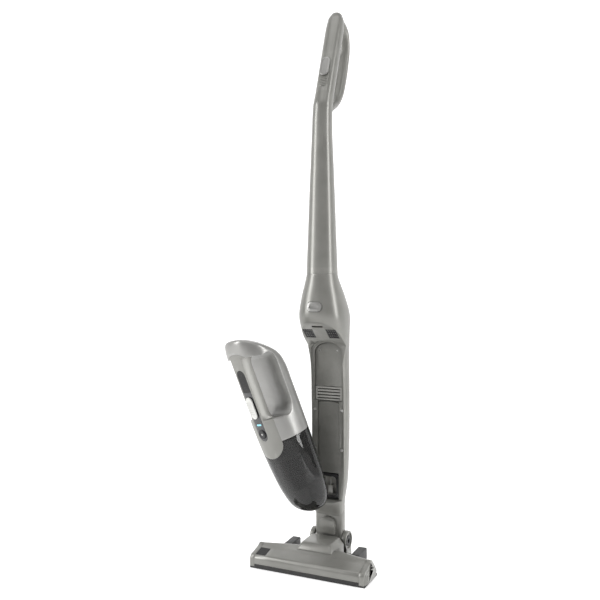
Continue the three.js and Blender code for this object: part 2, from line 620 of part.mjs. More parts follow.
function intakeDuct() {
  const outer = alongY(rounded(36.4, 43.4, 5.7, 0, frameMiddle), DISH_Y, DISH_Y + 18);
  const inner = alongY(rounded(32, 39, 4, 0, frameMiddle), DISH_Y - 1, DISH_Y + 15.6);
  return cut(outer, inner, rod("z", 6.5, 100, frameMiddle, 0, DISH_Y + 8, 20));
}
add("intake_duct", intakeDuct(), PALE);
screwSpots.forEach(([side, z], i) => {
  const cross = join(box(-2, 2, -20, LEDGE_Y + 0.8, -0.5, 0.5), box(-0.5, 0.5, -20, LEDGE_Y + 0.8, -2, 2));
  add(`dock_screw_${i + 1}`, cut(screwAt(side, z, 0), cross.translate([side * screwX, 0, z])), STEEL);
});
add("charge_pin_left", chargePin(-1, 0), STEEL);
add("charge_pin_right", chargePin(1, 0), STEEL);

function releaseButton() {
  const face = body(SPINE, SPINE_STEPS, 0, 0, SPINE_COUNT).translate([0, -1.4, 0]);
  const cap = alongY(releaseShape(0), -70, SHOULDER_FRONT + 16).intersect(face);
  const dimple = alongY(rounded(20, 8, 4, 0, 531), -120, SHOULDER_FRONT - 0.2);
  const flange = alongY(rounded(37, 23, 9, 0, 531), SHOULDER_FRONT + 12.5, SHOULDER_FRONT + 16);
  return cut(join(cap, flange), dimple);
}

// ---------- stick: the tube and the handle ----------
const lean = THREE.MathUtils.degToRad(GRIP_LEAN);
const onGrip = (solid) => solid.rotate([-GRIP_LEAN, 0, 0]).translate([0, TUBE_Y, BEND_Z]);
const along = (s) => [TUBE_Y + Math.sin(lean) * s, BEND_Z + Math.cos(lean) * s];

function gripRings(shrink, flatten) {
  const stops = [
    [TUBE_Y, COVER_SEAM + GAP / 2, 0, TUBE_FOOT],
    [TUBE_Y, COVER_SEAM + 60, 0, TUBE_FOOT - 2.2],
    [TUBE_Y, COVER_SEAM + 170, 0, TUBE_FOOT - 6],
    [TUBE_Y, BEND_Z - 42, 0, TUBE_HEAD],
    [TUBE_Y + 1, BEND_Z - 14, lean * 0.3, TUBE_HEAD - 0.4],
    [...along(10), lean * 0.85, TUBE_HEAD - 0.8],
    [...along(40), lean, TUBE_HEAD - 1.6],
    [...along(GRIP_LENGTH - 46), lean, TUBE_HEAD - 1.6],
    [...along(GRIP_LENGTH - 20), lean, TUBE_HEAD - 3.5],
    [...along(GRIP_LENGTH - 6), lean, TUBE_HEAD - 9],
    [...along(GRIP_LENGTH), lean, TUBE_HEAD - 16],
  ];
  return stops.map(([y, z, tilt, r], i) => {
    const last = shrink && i === stops.length - 1;
    const half = Math.max(r - shrink, 1);
    const flat = flatten ? flatten(half) : oval(half, -half, half, 2.3, 20);
    const drop = last ? shrink : 0;
    return {
      flat,
      place: (u, v) => v3(u, y + v * Math.cos(tilt) - drop * Math.sin(tilt), z - v * Math.sin(tilt) - drop * Math.cos(tilt)),
    };
  });
}
const rearShare = (gap) => (half) => {
  const y = 9 + gap;
  return [[-60, y], [60, y], [60, 60], [-60, 60]].map(([a, b]) => new THREE.Vector2(a, b));
};

// The finger loop behind the handle, an oval section carried round a D.
// Each stop is how far back it lies and how far above the bend.
const LOOP = [
  [56, 205], [84, 211], [110, 197], [117, 165], [108, 125], [94, 85], [77, 52], [54, 29], [28, 14], [2, -4],
];
function gripLoop(shrink = 0) {
  const path = new THREE.CatmullRomCurve3(
    LOOP.map(([y, up]) => v3(0, y, BEND_Z + up)),
    false,
    "centripetal",
  );
  const rings = Array.from({ length: 14 }, (_, i) => {
    const at = path.getPoint(i / 13);
    const run = path.getTangent(i / 13);
    const out = v3(0, run.z, -run.y);
    return {
      flat: oval(12.5 - shrink, -8 + shrink, 8 - shrink, 2.6, 12),
      place: (u, v) => at.clone().add(v3(u, 0, 0)).addScaledVector(out, v),
    };
  });
  return loft(rings);
}
const TRACK_LENGTH = 72;
const trackRoom = (grow) => {
  const shape = rounded(22 + 2 * grow, TRACK_LENGTH + 2 * grow, 11 + grow, 0, SLIDER_AT - 13);
  return onGrip(alongY(shape, -40, -(TUBE_HEAD - 1.6) + 3.2 + grow, 6));
};
function tubeFront() {
  const shell = cut(loft(gripRings(0)), loft(gripRings(WALL)), loft(gripRings(0, rearShare(-GAP / 2))));
  const under = box(-200, 200, -200, 200, 0, COVER_SEAM + GAP / 2);
  const lower = body(SPINE, SPINE_STEPS, -5, 0, SPINE_COUNT).intersect(under);
  return cut(shell, lower, trackRoom(GAP), box(-200, 200, -200, 200, 0, COVER_SEAM + GAP / 2));
}
function tubeRear() {
  const rear = loft(gripRings(0, rearShare(GAP / 2)));
  const shell = cut(loft(gripRings(0)).intersect(rear), loft(gripRings(WALL)));
  const loop = cut(gripLoop(), loft(gripRings(0.8)), cut(loft(gripRings(-20)), loft(gripRings(0, rearShare(GAP / 2)))));
  return cut(join(shell, loop), box(-200, 200, -200, 200, 0, COVER_SEAM + GAP / 2));
}
add("tube_front", largest(tubeFront()), GREY);
add("tube_rear", largest(tubeRear()), GREY);
function sliderTrack() {
  const face = -(TUBE_HEAD - 1.6);
  const plate = alongY(rounded(22, TRACK_LENGTH, 11, 0, SLIDER_AT - 13), face + 1.4, face + 3.2);
  const ribs = Array.from({ length: 5 }, (_, k) =>
    box(-7, 7, face + 0.4, face + 1.6, SLIDER_AT - 43 + k * 4, SLIDER_AT - 41.4 + k * 4),
  );
  return onGrip(join(plate, ...ribs));
}
add("slider_track", sliderTrack(), DARK);
function stickSlider() {
  const face = -(TUBE_HEAD - 1.6);
  const pad = alongY(rounded(20, 44, 10, 0, SLIDER_AT), face - 3.4, face - 0.2);
  const dimple = alongY(rounded(13, 33, 6.5, 0, SLIDER_AT), face - 5, face - 2.4);
  return onGrip(cut(pad, dimple));
}
add("stick_slider", stickSlider(), SILVER);
add("release_button", releaseButton(), SILVER);

// ---------- hand unit, drawn docked and then tipped forward ----------
const UNIT = [
  { z: 0, w: 16, front: -26, back: 0, n: 2.2 },
  { z: 5, w: 26, front: -38, back: 10, n: 2.3 },
  { z: 20, w: 36, front: -52, back: 17, n: 2.4 },
  { z: 55, w: 45, front: -63, back: 21, n: 2.4 },
  { z: 112, w: UNIT_HALF - 4, front: UNIT_FRONT + 4, back: UNIT_REAR - 1, n: 2.4 },
  { z: 172, w: UNIT_HALF - 1, front: UNIT_FRONT + 1, back: UNIT_REAR, n: 2.4 },
  { z: 282, w: UNIT_HALF, front: UNIT_FRONT, back: UNIT_REAR, n: 2.4 },
  { z: 335, w: UNIT_HALF - 1, front: UNIT_FRONT + 1, back: UNIT_REAR - 0.5, n: 2.4 },
  { z: 352, w: UNIT_HALF - 5, front: UNIT_FRONT + 5, back: UNIT_REAR - 5, n: 2.3 },
  { z: 360, w: UNIT_HALF - 16, front: UNIT_FRONT + 16, back: UNIT_REAR - 16, n: 2.2 },
];
const unitMiddle = (UNIT_FRONT + UNIT_REAR) / 2;
const crownSlope = lipSlope * 0.9;
// The crown slants like the shoulder's lip that it lies under.
function unitBody(shrink, from = 0, to = 1, steps = 14) {
  const line = (key) =>
    new THREE.CatmullRomCurve3(UNIT.map((s) => v3(s.z, s[key], 0)), false, "centripetal");
  const lines = { w: line("w"), front: line("front"), back: line("back"), n: line("n") };
  const rings = [];
  for (let i = 0; i <= steps; i++) {
    const t = i / steps;
    const at = (key) => lines[key].getPoint(t).y;
    const z = lines.w.getPoint(t).x;
    const slant = crownSlope * THREE.MathUtils.smoothstep(z, 200, 330);
    const lift = shrink * (t < 0.08 ? 1 - t / 0.08 : t > 0.92 ? -(t - 0.92) / 0.08 : 0);
    rings.push({
      flat: oval(at("w") - shrink, at("front") + shrink, at("back") - shrink, at("n"), 24),
      place: (u, v) => v3(u, v, UNIT_BOTTOM + z + lift - (v - unitMiddle) * slant),
    });
  }
  return loft(rings);
}
const tip = (solid) =>
  turnX(solid, THREE.MathUtils.degToRad(TIP_ANGLE), TIP_Y, TIP_Z)
    .translate([-TIP_X, -TIP_Y, -TIP_Z])
    .rotate([0, 0, -TURN_ANGLE]).rotate([0, -LEAN_ANGLE, 0])
    .translate([TIP_X, TIP_Y, TIP_Z]);

const GRIP_LOW = 330;
const GRIP_HIGH = 462;
const BRIDGE_HALF = 17; // half width of the handle in front of the finger room
const BRIDGE_DEEP = 23;
function gripRoom(grow) {
  const low = GRIP_LOW - grow;
  const high = GRIP_HIGH + grow;
  const front = UNIT_FRONT + BRIDGE_DEEP - grow;
  const back = unitMiddle + 9 + grow;
  const shape = new THREE.Shape();
  shape.moveTo(front, low + 22);
  shape.quadraticCurveTo(front, low, front + 14, low);
  shape.quadraticCurveTo(back, low + 2, back, low + 34);
  shape.lineTo(back, high - 26);
  shape.quadraticCurveTo(back, high, front + 16, high);
  shape.quadraticCurveTo(front, high, front, high - 16);
  const band = outline([[-120, low + 10], [front + 7, low + 2], [front + 7, high - 2], [-120, high + 16]]);
  const sides = [-1, 1].map((side) => {
    const x = side * (BRIDGE_HALF - grow);
    return alongX(band, Math.min(x, side * 100), Math.max(x, side * 100));
  });
  return join(alongX(shape, -100, 100), ...sides);
}

// The housing's front oval, from the tongue's foot to the top of the handle.
const OVAL_HALF = 38;
const OVAL_HIGH = GRIP_HIGH + 14;
const ovalBack = unitMiddle - 12;
function frontOval(grow) {
  const half = OVAL_HALF + grow;
  const shape = new THREE.Shape();
  shape.moveTo(half, TONGUE_BOTTOM + 30);
  shape.lineTo(half, OVAL_HIGH - 30);
  shape.absellipse(0, OVAL_HIGH - 30, half, 30 + grow, 0, Math.PI);
  shape.lineTo(-half, TONGUE_BOTTOM + 30);
  shape.absellipse(0, TONGUE_BOTTOM + 30, half, 30 + grow, Math.PI, 2 * Math.PI);
  return alongY(shape, -150, ovalBack + grow, 6);
}
const slab = (low, high) => box(-150, 150, -200, 150, low, high);

const MOUTH_LOW = 132;
const MOUTH_HIGH = 168;
const mouthRoom = (grow) =>
  alongY(
    rounded(28 + 2 * grow, MOUTH_HIGH - MOUTH_LOW + 2 * grow, 7, 0, (MOUTH_LOW + MOUTH_HIGH) / 2),
    -4 - grow, 60,
  );
const outerUnit = unitBody(0);
const innerUnit = unitBody(WALL);
const shellWall = cut(outerUnit, cut(innerUnit, gripRoom(WALL)), gripRoom(0));

function dustContainer() {
  const wall = cut(outerUnit, innerUnit);
  return largest(cut(wall, slab(BIN_TOP - GAP, 900), frontOval(GAP), mouthRoom(GAP)));
}
// The black mouth in the bin's rear, open to the bin's inside.
function suctionMouth() {
  const pocket = mouthRoom(-3).intersect(box(-100, 100, 2, 100, 0, 700));
  return cut(mouthRoom(0).intersect(outerUnit), pocket, box(-9, 9, -20, 20, MOUTH_LOW + 9, MOUTH_HIGH - 9));
}

const FILTER_LOW = 172;
const FILTER_TOP = 240;
const filterY = unitMiddle - 4;
function lathe(points, segments = 16) {
  const geometry = new THREE.LatheGeometry(points.map(([r, z]) => new THREE.Vector2(r, z)), segments);
  geometry.rotateX(Math.PI / 2).translate(0, filterY, 0);
  return toSolid(geometry);
}
function filterCone() {
  const [a, b] = [FILTER_LOW, FILTER_TOP];
  const foot = [[0, a], [13, a], [16, a + 16], [16, a + 24]];
  const profile = [...foot, [27, a + 27], [27, a + 32], [21, a + 35], [25, b], [0, b]];
  const inside = [[0, a + 18], [12, a + 18], [13, a + 30], [18, a + 38], [22, b + 1], [0, b + 1]];
  return cut(lathe(profile), lathe(inside));
}
const fineFilter = () =>
  join(
    rod("z", 17, FILTER_LOW + 42, FILTER_TOP + 3, 0, filterY, 14),
    rod("z", 31, FILTER_TOP + GAP, FILTER_TOP + 6, 0, filterY, 18),
  );

const skin = (deep, proud = 0) => cut(proud ? unitBody(-proud) : outerUnit, unitBody(deep));
const PANEL_LOW = 292;
const PANEL_SPLIT = 396;
const PANEL_HIGH = 443;
const panelShape = (grow) =>
  alongY(
    rounded(25 + 2 * grow, PANEL_HIGH - PANEL_LOW + 2 * grow, 12.5 + grow, 0, (PANEL_LOW + PANEL_HIGH) / 2),
    -150, ovalBack - 6,
  );
const PANEL_THICK = 1.6;
const BUTTON_Z = 307;
const BUTTON_RADIUS = 9.5;
const LED_Z = 327;
const buttonRod = (grow) =>
  rod("y", BUTTON_RADIUS + grow, UNIT_FRONT - 30, UNIT_FRONT + 9 + grow, 0, BUTTON_Z, 16);
const ledBox = (grow) =>
  box(-7 - grow, 7 + grow, -150, UNIT_FRONT + 9, LED_Z - 1.8 - grow, LED_Z + 1.8 + grow);
const VENT_Z = 345;
const ventRoom = (grow) => alongY(rounded(34 + 2 * grow, 44 + 2 * grow, 6 + grow, 0, VENT_Z), 8, 60);

function gripHousing() {
  return largest(
    cut(
      shellWall.intersect(frontOval(0)),
      panelShape(GAP).intersect(skin(PANEL_THICK + GAP, 5)), buttonRod(RUN),
    ),
  );
}
const unitShell = () =>
  largest(
    cut(
      shellWall.intersect(slab(BIN_TOP, 900)), frontOval(GAP),
      ventRoom(GAP).intersect(skin(PANEL_THICK + GAP, 5)),
    ),
  );
function exhaustGrille() {
  const plate = ventRoom(0).intersect(skin(PANEL_THICK));
  const slots = Array.from({ length: 5 }, (_, k) =>
    box(-13, 13, 0, 60, VENT_Z - 17 + k * 7.2, VENT_Z - 13.5 + k * 7.2),
  );
  return cut(plate, ...slots);
}
const panelSkin = () => panelShape(0).intersect(skin(PANEL_THICK));
const fanY = unitMiddle;
function fanImpeller() {
  const blades = Array.from({ length: 7 }, (_, k) =>
    box(5, 22, -0.9, 0.9, 293, 299).rotate([0, 0, (360 / 7) * k]).translate([0, fanY, 0]),
  );
  return join(rod("z", 23, 290.5, 293.2, 0, fanY, 18), rod("z", 6, 290.5, 300, 0, fanY, 10), ...blades);
}
const battery = () =>
  cut(box(-28, 28, unitMiddle + 9 + WALL + 1, UNIT_REAR - 6, 334, 452), gripRoom(WALL + 1))
    .intersect(unitBody(WALL + 1));
function handSlider() {
  const pad = alongY(rounded(19, 46, 9.5, 0, 364), UNIT_FRONT - 3.6, UNIT_FRONT - 0.5, 6);
  const ribs = Array.from({ length: 5 }, (_, k) =>
    box(-5 + k * 2.2, -4 + k * 2.2, UNIT_FRONT - 5, UNIT_FRONT - 2.9, 362, 380),
  );
  return cut(pad, ...ribs);
}
const binButton = () =>
  cut(
    rod("y", BUTTON_RADIUS, UNIT_FRONT - 1.6, UNIT_FRONT + 9, 0, BUTTON_Z, 16),
    rod("y", 6.5, UNIT_FRONT - 5, UNIT_FRONT - 0.8, 0, BUTTON_Z, 16),
  );

const unitPieces = [
  ["dust_container", dustContainer(), SMOKE],
  ["suction_mouth", suctionMouth(), DARK],
  ["filter_cone", filterCone(), DARK],
  ["fine_filter", fineFilter(), WHITE],
  ["unit_shell", unitShell(), PALE],
  ["grip_housing", gripHousing(), GREY],
  ["control_panel", cut(panelSkin().intersect(slab(0, PANEL_SPLIT)), buttonRod(RUN), ledBox(GAP)), DARK],
  ["grip_strip", panelSkin().intersect(slab(PANEL_SPLIT + GAP, 900)), RUBBER],
  ["led_bar", ledBox(0).intersect(skin(PANEL_THICK)), LIGHT],
  ["fan_motor", rod("z", 21, 301, 325, 0, fanY, 18), STEEL],
  ["battery_pack", battery(), CELL],
  ["exhaust_grille", exhaustGrille(), DARK],
  ["fan_impeller", fanImpeller(), WHITE],
  ["hand_slider", handSlider(), WHITE],
  ["bin_button", binButton(), DARK],
];
for (const [name, solid, material] of unitPieces) add(name, tip(solid), material);

export default vacuum;
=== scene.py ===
# %% [markdown]
# # A stick vacuum whose hand unit tips out of its dock
#
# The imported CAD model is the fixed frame: every piece made here is put where its CAD node is.
# The big mouldings are made again with smooth, fine surfaces, and every piece gets a finish
# that is worked out by nodes. Lengths below are in millimetres, and `MM` turns them into metres.

import math

import bpy
from mathutils import Matrix, Vector
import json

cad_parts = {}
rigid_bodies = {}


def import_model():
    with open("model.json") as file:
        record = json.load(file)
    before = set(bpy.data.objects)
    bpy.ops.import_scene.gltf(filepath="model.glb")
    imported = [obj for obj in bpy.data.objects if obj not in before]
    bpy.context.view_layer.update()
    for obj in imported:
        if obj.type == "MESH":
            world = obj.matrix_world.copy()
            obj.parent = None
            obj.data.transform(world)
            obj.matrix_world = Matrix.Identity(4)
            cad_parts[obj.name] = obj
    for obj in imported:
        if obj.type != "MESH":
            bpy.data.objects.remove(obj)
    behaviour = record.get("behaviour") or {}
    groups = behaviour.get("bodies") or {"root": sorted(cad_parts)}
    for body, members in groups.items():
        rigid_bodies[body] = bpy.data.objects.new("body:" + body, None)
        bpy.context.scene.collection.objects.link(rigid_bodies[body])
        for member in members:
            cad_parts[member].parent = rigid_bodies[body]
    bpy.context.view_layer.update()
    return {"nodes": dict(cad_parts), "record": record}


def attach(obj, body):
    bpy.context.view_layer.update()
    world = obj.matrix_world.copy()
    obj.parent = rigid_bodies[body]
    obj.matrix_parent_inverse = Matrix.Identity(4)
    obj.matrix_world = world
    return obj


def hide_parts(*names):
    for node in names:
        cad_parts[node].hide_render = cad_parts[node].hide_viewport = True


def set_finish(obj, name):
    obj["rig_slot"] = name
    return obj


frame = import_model()
MM = 0.001

# %% [markdown]
# ## Handling pieces
#
# A Blender operator acts on everything that is selected. So each step first wakes one piece,
# which selects it and nothing else.

# %% Select, name and settle
def wake(piece):
    if bpy.context.object and bpy.context.object.mode != "OBJECT":
        bpy.ops.object.mode_set(mode="OBJECT")
    bpy.ops.object.select_all(action="DESELECT")
    piece.select_set(True)
    bpy.context.view_layer.objects.active = piece
    return piece


def named(name):
    piece = bpy.context.object
    piece.name = name
    piece.data.name = name
    bpy.ops.object.transform_apply(location=True, rotation=True, scale=True)
    return piece


def in_edit(piece, *steps):
    wake(piece)
    bpy.ops.object.mode_set(mode="EDIT")
    for step in steps:
        step()
    bpy.ops.object.mode_set(mode="OBJECT")
    return piece


def pick_all():
    bpy.ops.mesh.select_all(action="SELECT")


def outward():
    pick_all()
    bpy.ops.mesh.normals_make_consistent(inside=False)


wake(frame["nodes"]["head_cover"])
bpy.ops.object.select_all(action="DESELECT")

# %% [markdown]
# ## Plain stock
#
# Carving needs blocks, drums and prisms. A block is a cube at its place, with its edges rounded
# in edit mode. A prism is a filled circle whose corners are moved onto an outline, and which is
# then extruded, because a circle already has its corners in order.

# %% Blocks
def block(x0, x1, y0, y1, z0, z1, soften=0.0, segments=2, name="block"):
    middle = Vector(((x0 + x1) / 2, (y0 + y1) / 2, (z0 + z1) / 2)) * MM
    size = Vector((x1 - x0, y1 - y0, z1 - z0)) * MM
    bpy.ops.object.select_all(action="DESELECT")
    bpy.ops.mesh.primitive_cube_add(size=1, location=middle, scale=size)
    piece = named(name)
    if soften:
        in_edit(
            piece, pick_all,
            lambda: bpy.ops.mesh.bevel(offset=soften * MM, segments=segments, affect="EDGES"),
        )
    return piece


# %% Drums
def drum(axis, radius, start, end, a, b, sides=48, soften=0.0, name="drum"):
    turn = {"x": (0, math.pi / 2, 0), "y": (math.pi / 2, 0, 0), "z": (0, 0, 0)}[axis]
    half = (start + end) / 2
    spot = {"x": (half, a, b), "y": (a, half, b), "z": (a, b, half)}[axis]
    bpy.ops.object.select_all(action="DESELECT")
    bpy.ops.mesh.primitive_cylinder_add(
        vertices=sides, radius=radius * MM, depth=(end - start) * MM,
        location=Vector(spot) * MM, rotation=turn,
    )
    piece = named(name)
    if soften:
        rim(piece, axis, soften)
    return piece


def rim(piece, axis, width):
    """Rounds the two rims of a drum: the edges that lie across its axis at its ends."""
    k = "xyz".index(axis)
    ends = [v.co[k] for v in piece.data.vertices]
    low, high = min(ends), max(ends)
    wake(piece)
    for edge in piece.data.edges:
        a, b = (piece.data.vertices[i].co[k] for i in edge.vertices)
        edge.select = abs(a - b) < 1e-6 and (abs(a - low) < 1e-6 or abs(a - high) < 1e-6)
    for thing in (piece.data.vertices, piece.data.polygons):
        for one in thing:
            one.select = False
    for edge in piece.data.edges:
        if edge.select:
            for i in edge.vertices:
                piece.data.vertices[i].select = True
    bpy.context.tool_settings.mesh_select_mode = (False, True, False)
    bpy.ops.object.mode_set(mode="EDIT")
    bpy.ops.mesh.bevel(offset=width * MM, segments=3, affect="EDGES")
    bpy.ops.object.mode_set(mode="OBJECT")
    bpy.context.tool_settings.mesh_select_mode = (True, False, False)


# %% Prisms from an outline
PLANES = {
    "x": lambda u, v, d: (d, u, v),
    "y": lambda u, v, d: (u, d, v),
    "z": lambda u, v, d: (u, v, d),
}


def prism(axis, outline, start, end, soften=0.0, segments=2, name="prism"):
    bpy.ops.object.select_all(action="DESELECT")
    bpy.ops.mesh.primitive_circle_add(vertices=len(outline), radius=1, fill_type="NGON")
    piece = named(name)
    for vertex, (u, v) in zip(piece.data.vertices, outline):
        vertex.co = Vector(PLANES[axis](u, v, start)) * MM
    reach = Vector(PLANES[axis](0, 0, end - start)) * MM
    in_edit(
        piece, pick_all,
        lambda: bpy.ops.mesh.extrude_region_move(TRANSFORM_OT_translate={"value": reach}),
        outward,
    )
    if soften:
        bevel_sharp(piece, soften, segments)
    return piece


def bevel_sharp(piece, width, segments=2, angle=40):
    """Rounds every edge that bends by more than an angle."""
    wake(piece)
    step = piece.modifiers.new("soften", "BEVEL")
    step.width = width * MM
    step.segments = segments
    step.limit_method = "ANGLE"
    step.angle_limit = math.radians(angle)
    step.use_clamp_overlap = True
    bpy.ops.object.modifier_apply(modifier=step.name)
    return piece


def arc(cx, cy, rx, ry, start, end, steps):
    return [
        (cx + rx * math.cos(math.radians(start + (end - start) * i / steps)),
         cy + ry * math.sin(math.radians(start + (end - start) * i / steps)))
        for i in range(steps + 1)
    ]


def pill(width, height, round_, cx=0.0, cy=0.0, steps=8):
    x, y, r = width / 2 - round_, height / 2 - round_, round_
    corners = [(x, y, 0), (-x, y, 90), (-x, -y, 180), (x, -y, 270)]
    points = []
    for dx, dy, a in corners:
        points += arc(cx + dx, cy + dy, r, r, a, a + 90, steps)
    return tidy(points)


def tidy(points):
    out = []
    for p in points:
        if not out or math.dist(p, out[-1]) > 1e-6:
            out.append(p)
    return out[:-1] if math.dist(out[0], out[-1]) < 1e-6 else out


def rounded_corners(points, radius, steps=4):
    """The outline with each corner replaced by a short curve that starts and ends radius away from it."""
    out = []
    for i, p in enumerate(points):
        before, after = points[i - 1], points[(i + 1) % len(points)]
        p = Vector(p)
        towards = (Vector(before) - p, Vector(after) - p)
        near, far = (p + t.normalized() * min(radius, t.length * 0.45) for t in towards)
        for k in range(steps + 1):
            t = k / steps
            out.append(tuple((1 - t) ** 2 * near + 2 * t * (1 - t) * p + t * t * far))
    return out


# %% Carving, joining and keeping what two solids share
def combine(piece, other, operation, keep=False):
    wake(piece)
    step = piece.modifiers.new("carve", "BOOLEAN")
    step.operation = operation
    step.solver = "EXACT"
    step.object = other
    bpy.ops.object.modifier_apply(modifier=step.name)
    if not keep:
        bpy.data.objects.remove(other)
    return piece


def carve(piece, *cutters):
    for cutter in cutters:
        combine(piece, cutter, "DIFFERENCE")
    return piece


def weld(piece, *others):
    for other in others:
        combine(piece, other, "UNION")
    return piece


def keep_inside(piece, other):
    return combine(piece, other, "INTERSECT")


def copy_of(piece, name="copy"):
    wake(piece)
    bpy.ops.object.duplicate()
    return named(name)


def turned(piece, degrees, y, z):
    """Turns a piece about a line along X through (y, z)."""
    spot = Vector((0, y, z)) * MM
    roll = Matrix.Rotation(math.radians(degrees), 4, "X")
    turn = Matrix.Translation(spot) @ roll @ Matrix.Translation(-spot)
    piece.data.transform(turn)
    return piece


def shifted(piece, x, y, z):
    piece.data.transform(Matrix.Translation(Vector((x, y, z)) * MM))
    return piece


def mirrored(piece, name):
    """A copy on the other side of the middle plane, with its faces turned back outwards."""
    other = copy_of(piece, name)
    other.data.transform(Matrix.Scale(-1, 4, Vector((1, 0, 0))))
    other.data.flip_normals()
    return other


def largest_only(piece):
    """Drops the loose scraps that carving can leave."""
    wake(piece)
    bpy.ops.object.mode_set(mode="EDIT")
    pick_all()
    bpy.ops.mesh.separate(type="LOOSE")
    bpy.ops.object.mode_set(mode="OBJECT")
    parts = list(bpy.context.selected_objects)
    parts.sort(key=lambda o: len(o.data.vertices), reverse=True)
    for scrap in parts[1:]:
        bpy.data.objects.remove(scrap)
    return wake(parts[0])


# %% [markdown]
# ## Mouldings that change along their length
#
# The stick's shells and the hand unit change their section all the way along, so no primitive
# comes close. A grid is rolled up instead: its rows become rings, one function says where each
# corner goes, and the seam is merged and both ends are filled. The ring is a squared-off ellipse,
# which is what most moulded housings look like in section.

# %% Roll a grid into a body
def rolled(name, rows, columns, place):
    bpy.ops.object.select_all(action="DESELECT")
    bpy.ops.mesh.primitive_grid_add(x_subdivisions=columns, y_subdivisions=rows - 1, size=1)
    piece = named(name)
    for vertex in piece.data.vertices:
        column = round((vertex.co.x + 0.5) * columns) % columns
        row = round((vertex.co.y + 0.5) * (rows - 1))
        vertex.co = Vector(place(row, column)) * MM
    in_edit(
        piece,
        pick_all,
        lambda: bpy.ops.mesh.remove_doubles(threshold=1e-7),
        lambda: bpy.ops.mesh.fill_holes(sides=0),
        outward,
    )
    return piece


def oval_point(w, front, back, n, share):
    """A point on a squared-off ellipse; share runs once round from 0 to 1."""
    c, s = math.cos(share * 2 * math.pi), math.sin(share * 2 * math.pi)
    middle, half = (front + back) / 2, (back - front) / 2
    return (
        w * math.copysign(abs(c) ** (2 / n), c),
        middle + half * math.copysign(abs(s) ** (2 / n), s),
    )


# %% A smooth line through the stations
def smooth_point(points, t):
    """The point at t, from 0 to 1, on a centripetal Catmull-Rom curve through (position, value) pairs."""
    last = len(points) - 1
    i = min(int(t * last), last - 1)
    w = t * last - i
    points = [Vector(p) for p in points]
    p1, p2 = points[i], points[i + 1]
    p0 = points[i - 1] if i > 0 else 2 * points[0] - points[1]
    p3 = points[i + 2] if i + 2 <= last else 2 * points[last] - points[last - 1]
    d0, d1, d2 = (max((b - a).length, 1e-8) ** 0.5 for a, b in ((p0, p1), (p1, p2), (p2, p3)))
    out = ((p1 - p0) / d0 - (p2 - p0) / (d0 + d1) + (p2 - p1) / d1) * d1
    into = ((p2 - p1) / d1 - (p3 - p1) / (d1 + d2) + (p3 - p2) / d2) * d1
    return p1 + out * w + (3 * (p2 - p1) - 2 * out - into) * w**2 + (2 * (p1 - p2) + out + into) * w**3


def station(table, t):
    """(height, half width, front, back, squareness) of a moulding at t along its table."""
    z = smooth_point([(row[0], row[1]) for row in table], t).x
    return (z, *(smooth_point([(row[0], row[k]) for row in table], t).y for k in (1, 2, 3, 4)))

# %% [markdown]
# ## Sizes shared with the frame
#
# The same stations as in the CAD model, so that each smooth shell lies on its node.

# %% Stations
GAP = 0.3
WALL = 2.4
NECK_HALF, NECK_FRONT, NECK_REAR = 30.5, 24, 50
PIVOT_Y, PIVOT_Z = 39, 37
DISH_BOTTOM, DISH_TOP = 118, 449
LIP_FRONT_Z, SHOULDER_FRONT, RIM_Y, LEDGE_Y, DISH_Y = 503, -50, 16, 24, 33
COVER_SEAM, TUBE_Y, TUBE_FOOT, TUBE_HEAD = 598, -8, 31.5, 20.5
BEND_Z, GRIP_LEAN, GRIP_LENGTH = 935, 20, 245
SPINE = [
    (60, 30.5, 24, 50, 5), (92, 30.5, 20, 50, 4.5), (122, 32, 13, 53, 3.6), (160, 37, 13, 59, 3),
    (230, 40, 13, 62, 2.8), (330, 41, 12, 62, 2.7), (429, 42, 0, 62, 2.6), (478, 47, -36, 62, 2.6),
    (512, 49.5, -50, 61, 2.5), (550, 43, -48, 47, 2.4),
    (598, 31.5, -39.5, 23.5, 2.2), (628, 30.9, -38.9, 22.9, 2.2),
]
LIP_SLOPE = (LIP_FRONT_Z - DISH_TOP) / (RIM_Y - SHOULDER_FRONT)


def lip_z(y):
    return DISH_TOP + (RIM_Y - y) * LIP_SLOPE


SEAM_LEAN = math.degrees(math.atan2(17, NECK_REAR - NECK_FRONT))
SEAM_SPOT = (37, 94 + 17 / 2)


def spine_body(shrink, name="spine_body", rows=90, columns=96):
    def place(row, column):
        z, w, front, back, n = station(SPINE, row / (rows - 1))
        x, y = oval_point(w - shrink, front + shrink, back - shrink, n, (column + 0.5) / columns)
        return x, y, z

    return rolled(name, rows, columns, place)


def half_space_above_seam(gap):
    piece = block(-150, 150, -150, 250, gap / 2, 900, name="above")
    piece = turned(piece, SEAM_LEAN, 0, 0)
    return shifted(piece, 0, *SEAM_SPOT)


# %% [markdown]
# ## The stick's lower half
#
# One shell carries everything: a dish that the hand unit lies in, with a ledge and rims along it,
# and above it a shoulder that flares forward over the dish like a hood. It starts as one smooth
# body. The dish, the hood's slanting underside and the windows are carved out of it, and then a
# plane parts the shoulder's front cover from the shell behind it.

# %% The room that is carved out in front
def open_front(grow):
    rim_y = RIM_Y + grow
    outline = [
        (rim_y, DISH_BOTTOM + 6 - grow), (rim_y, lip_z(RIM_Y) + grow), (-140, lip_z(-140) + grow), (-140, 40),
        (-20, 40), (2, DISH_BOTTOM - 4 - grow), (RIM_Y - 3, DISH_BOTTOM - grow),
    ]
    return prism("x", outline, -120, 120, name="front_room")


def arched(half, bottom, top, rise, steps=16):
    return [(-half, bottom), (half, bottom)] + arc(0, top - rise, half, rise, 0, 180, steps)


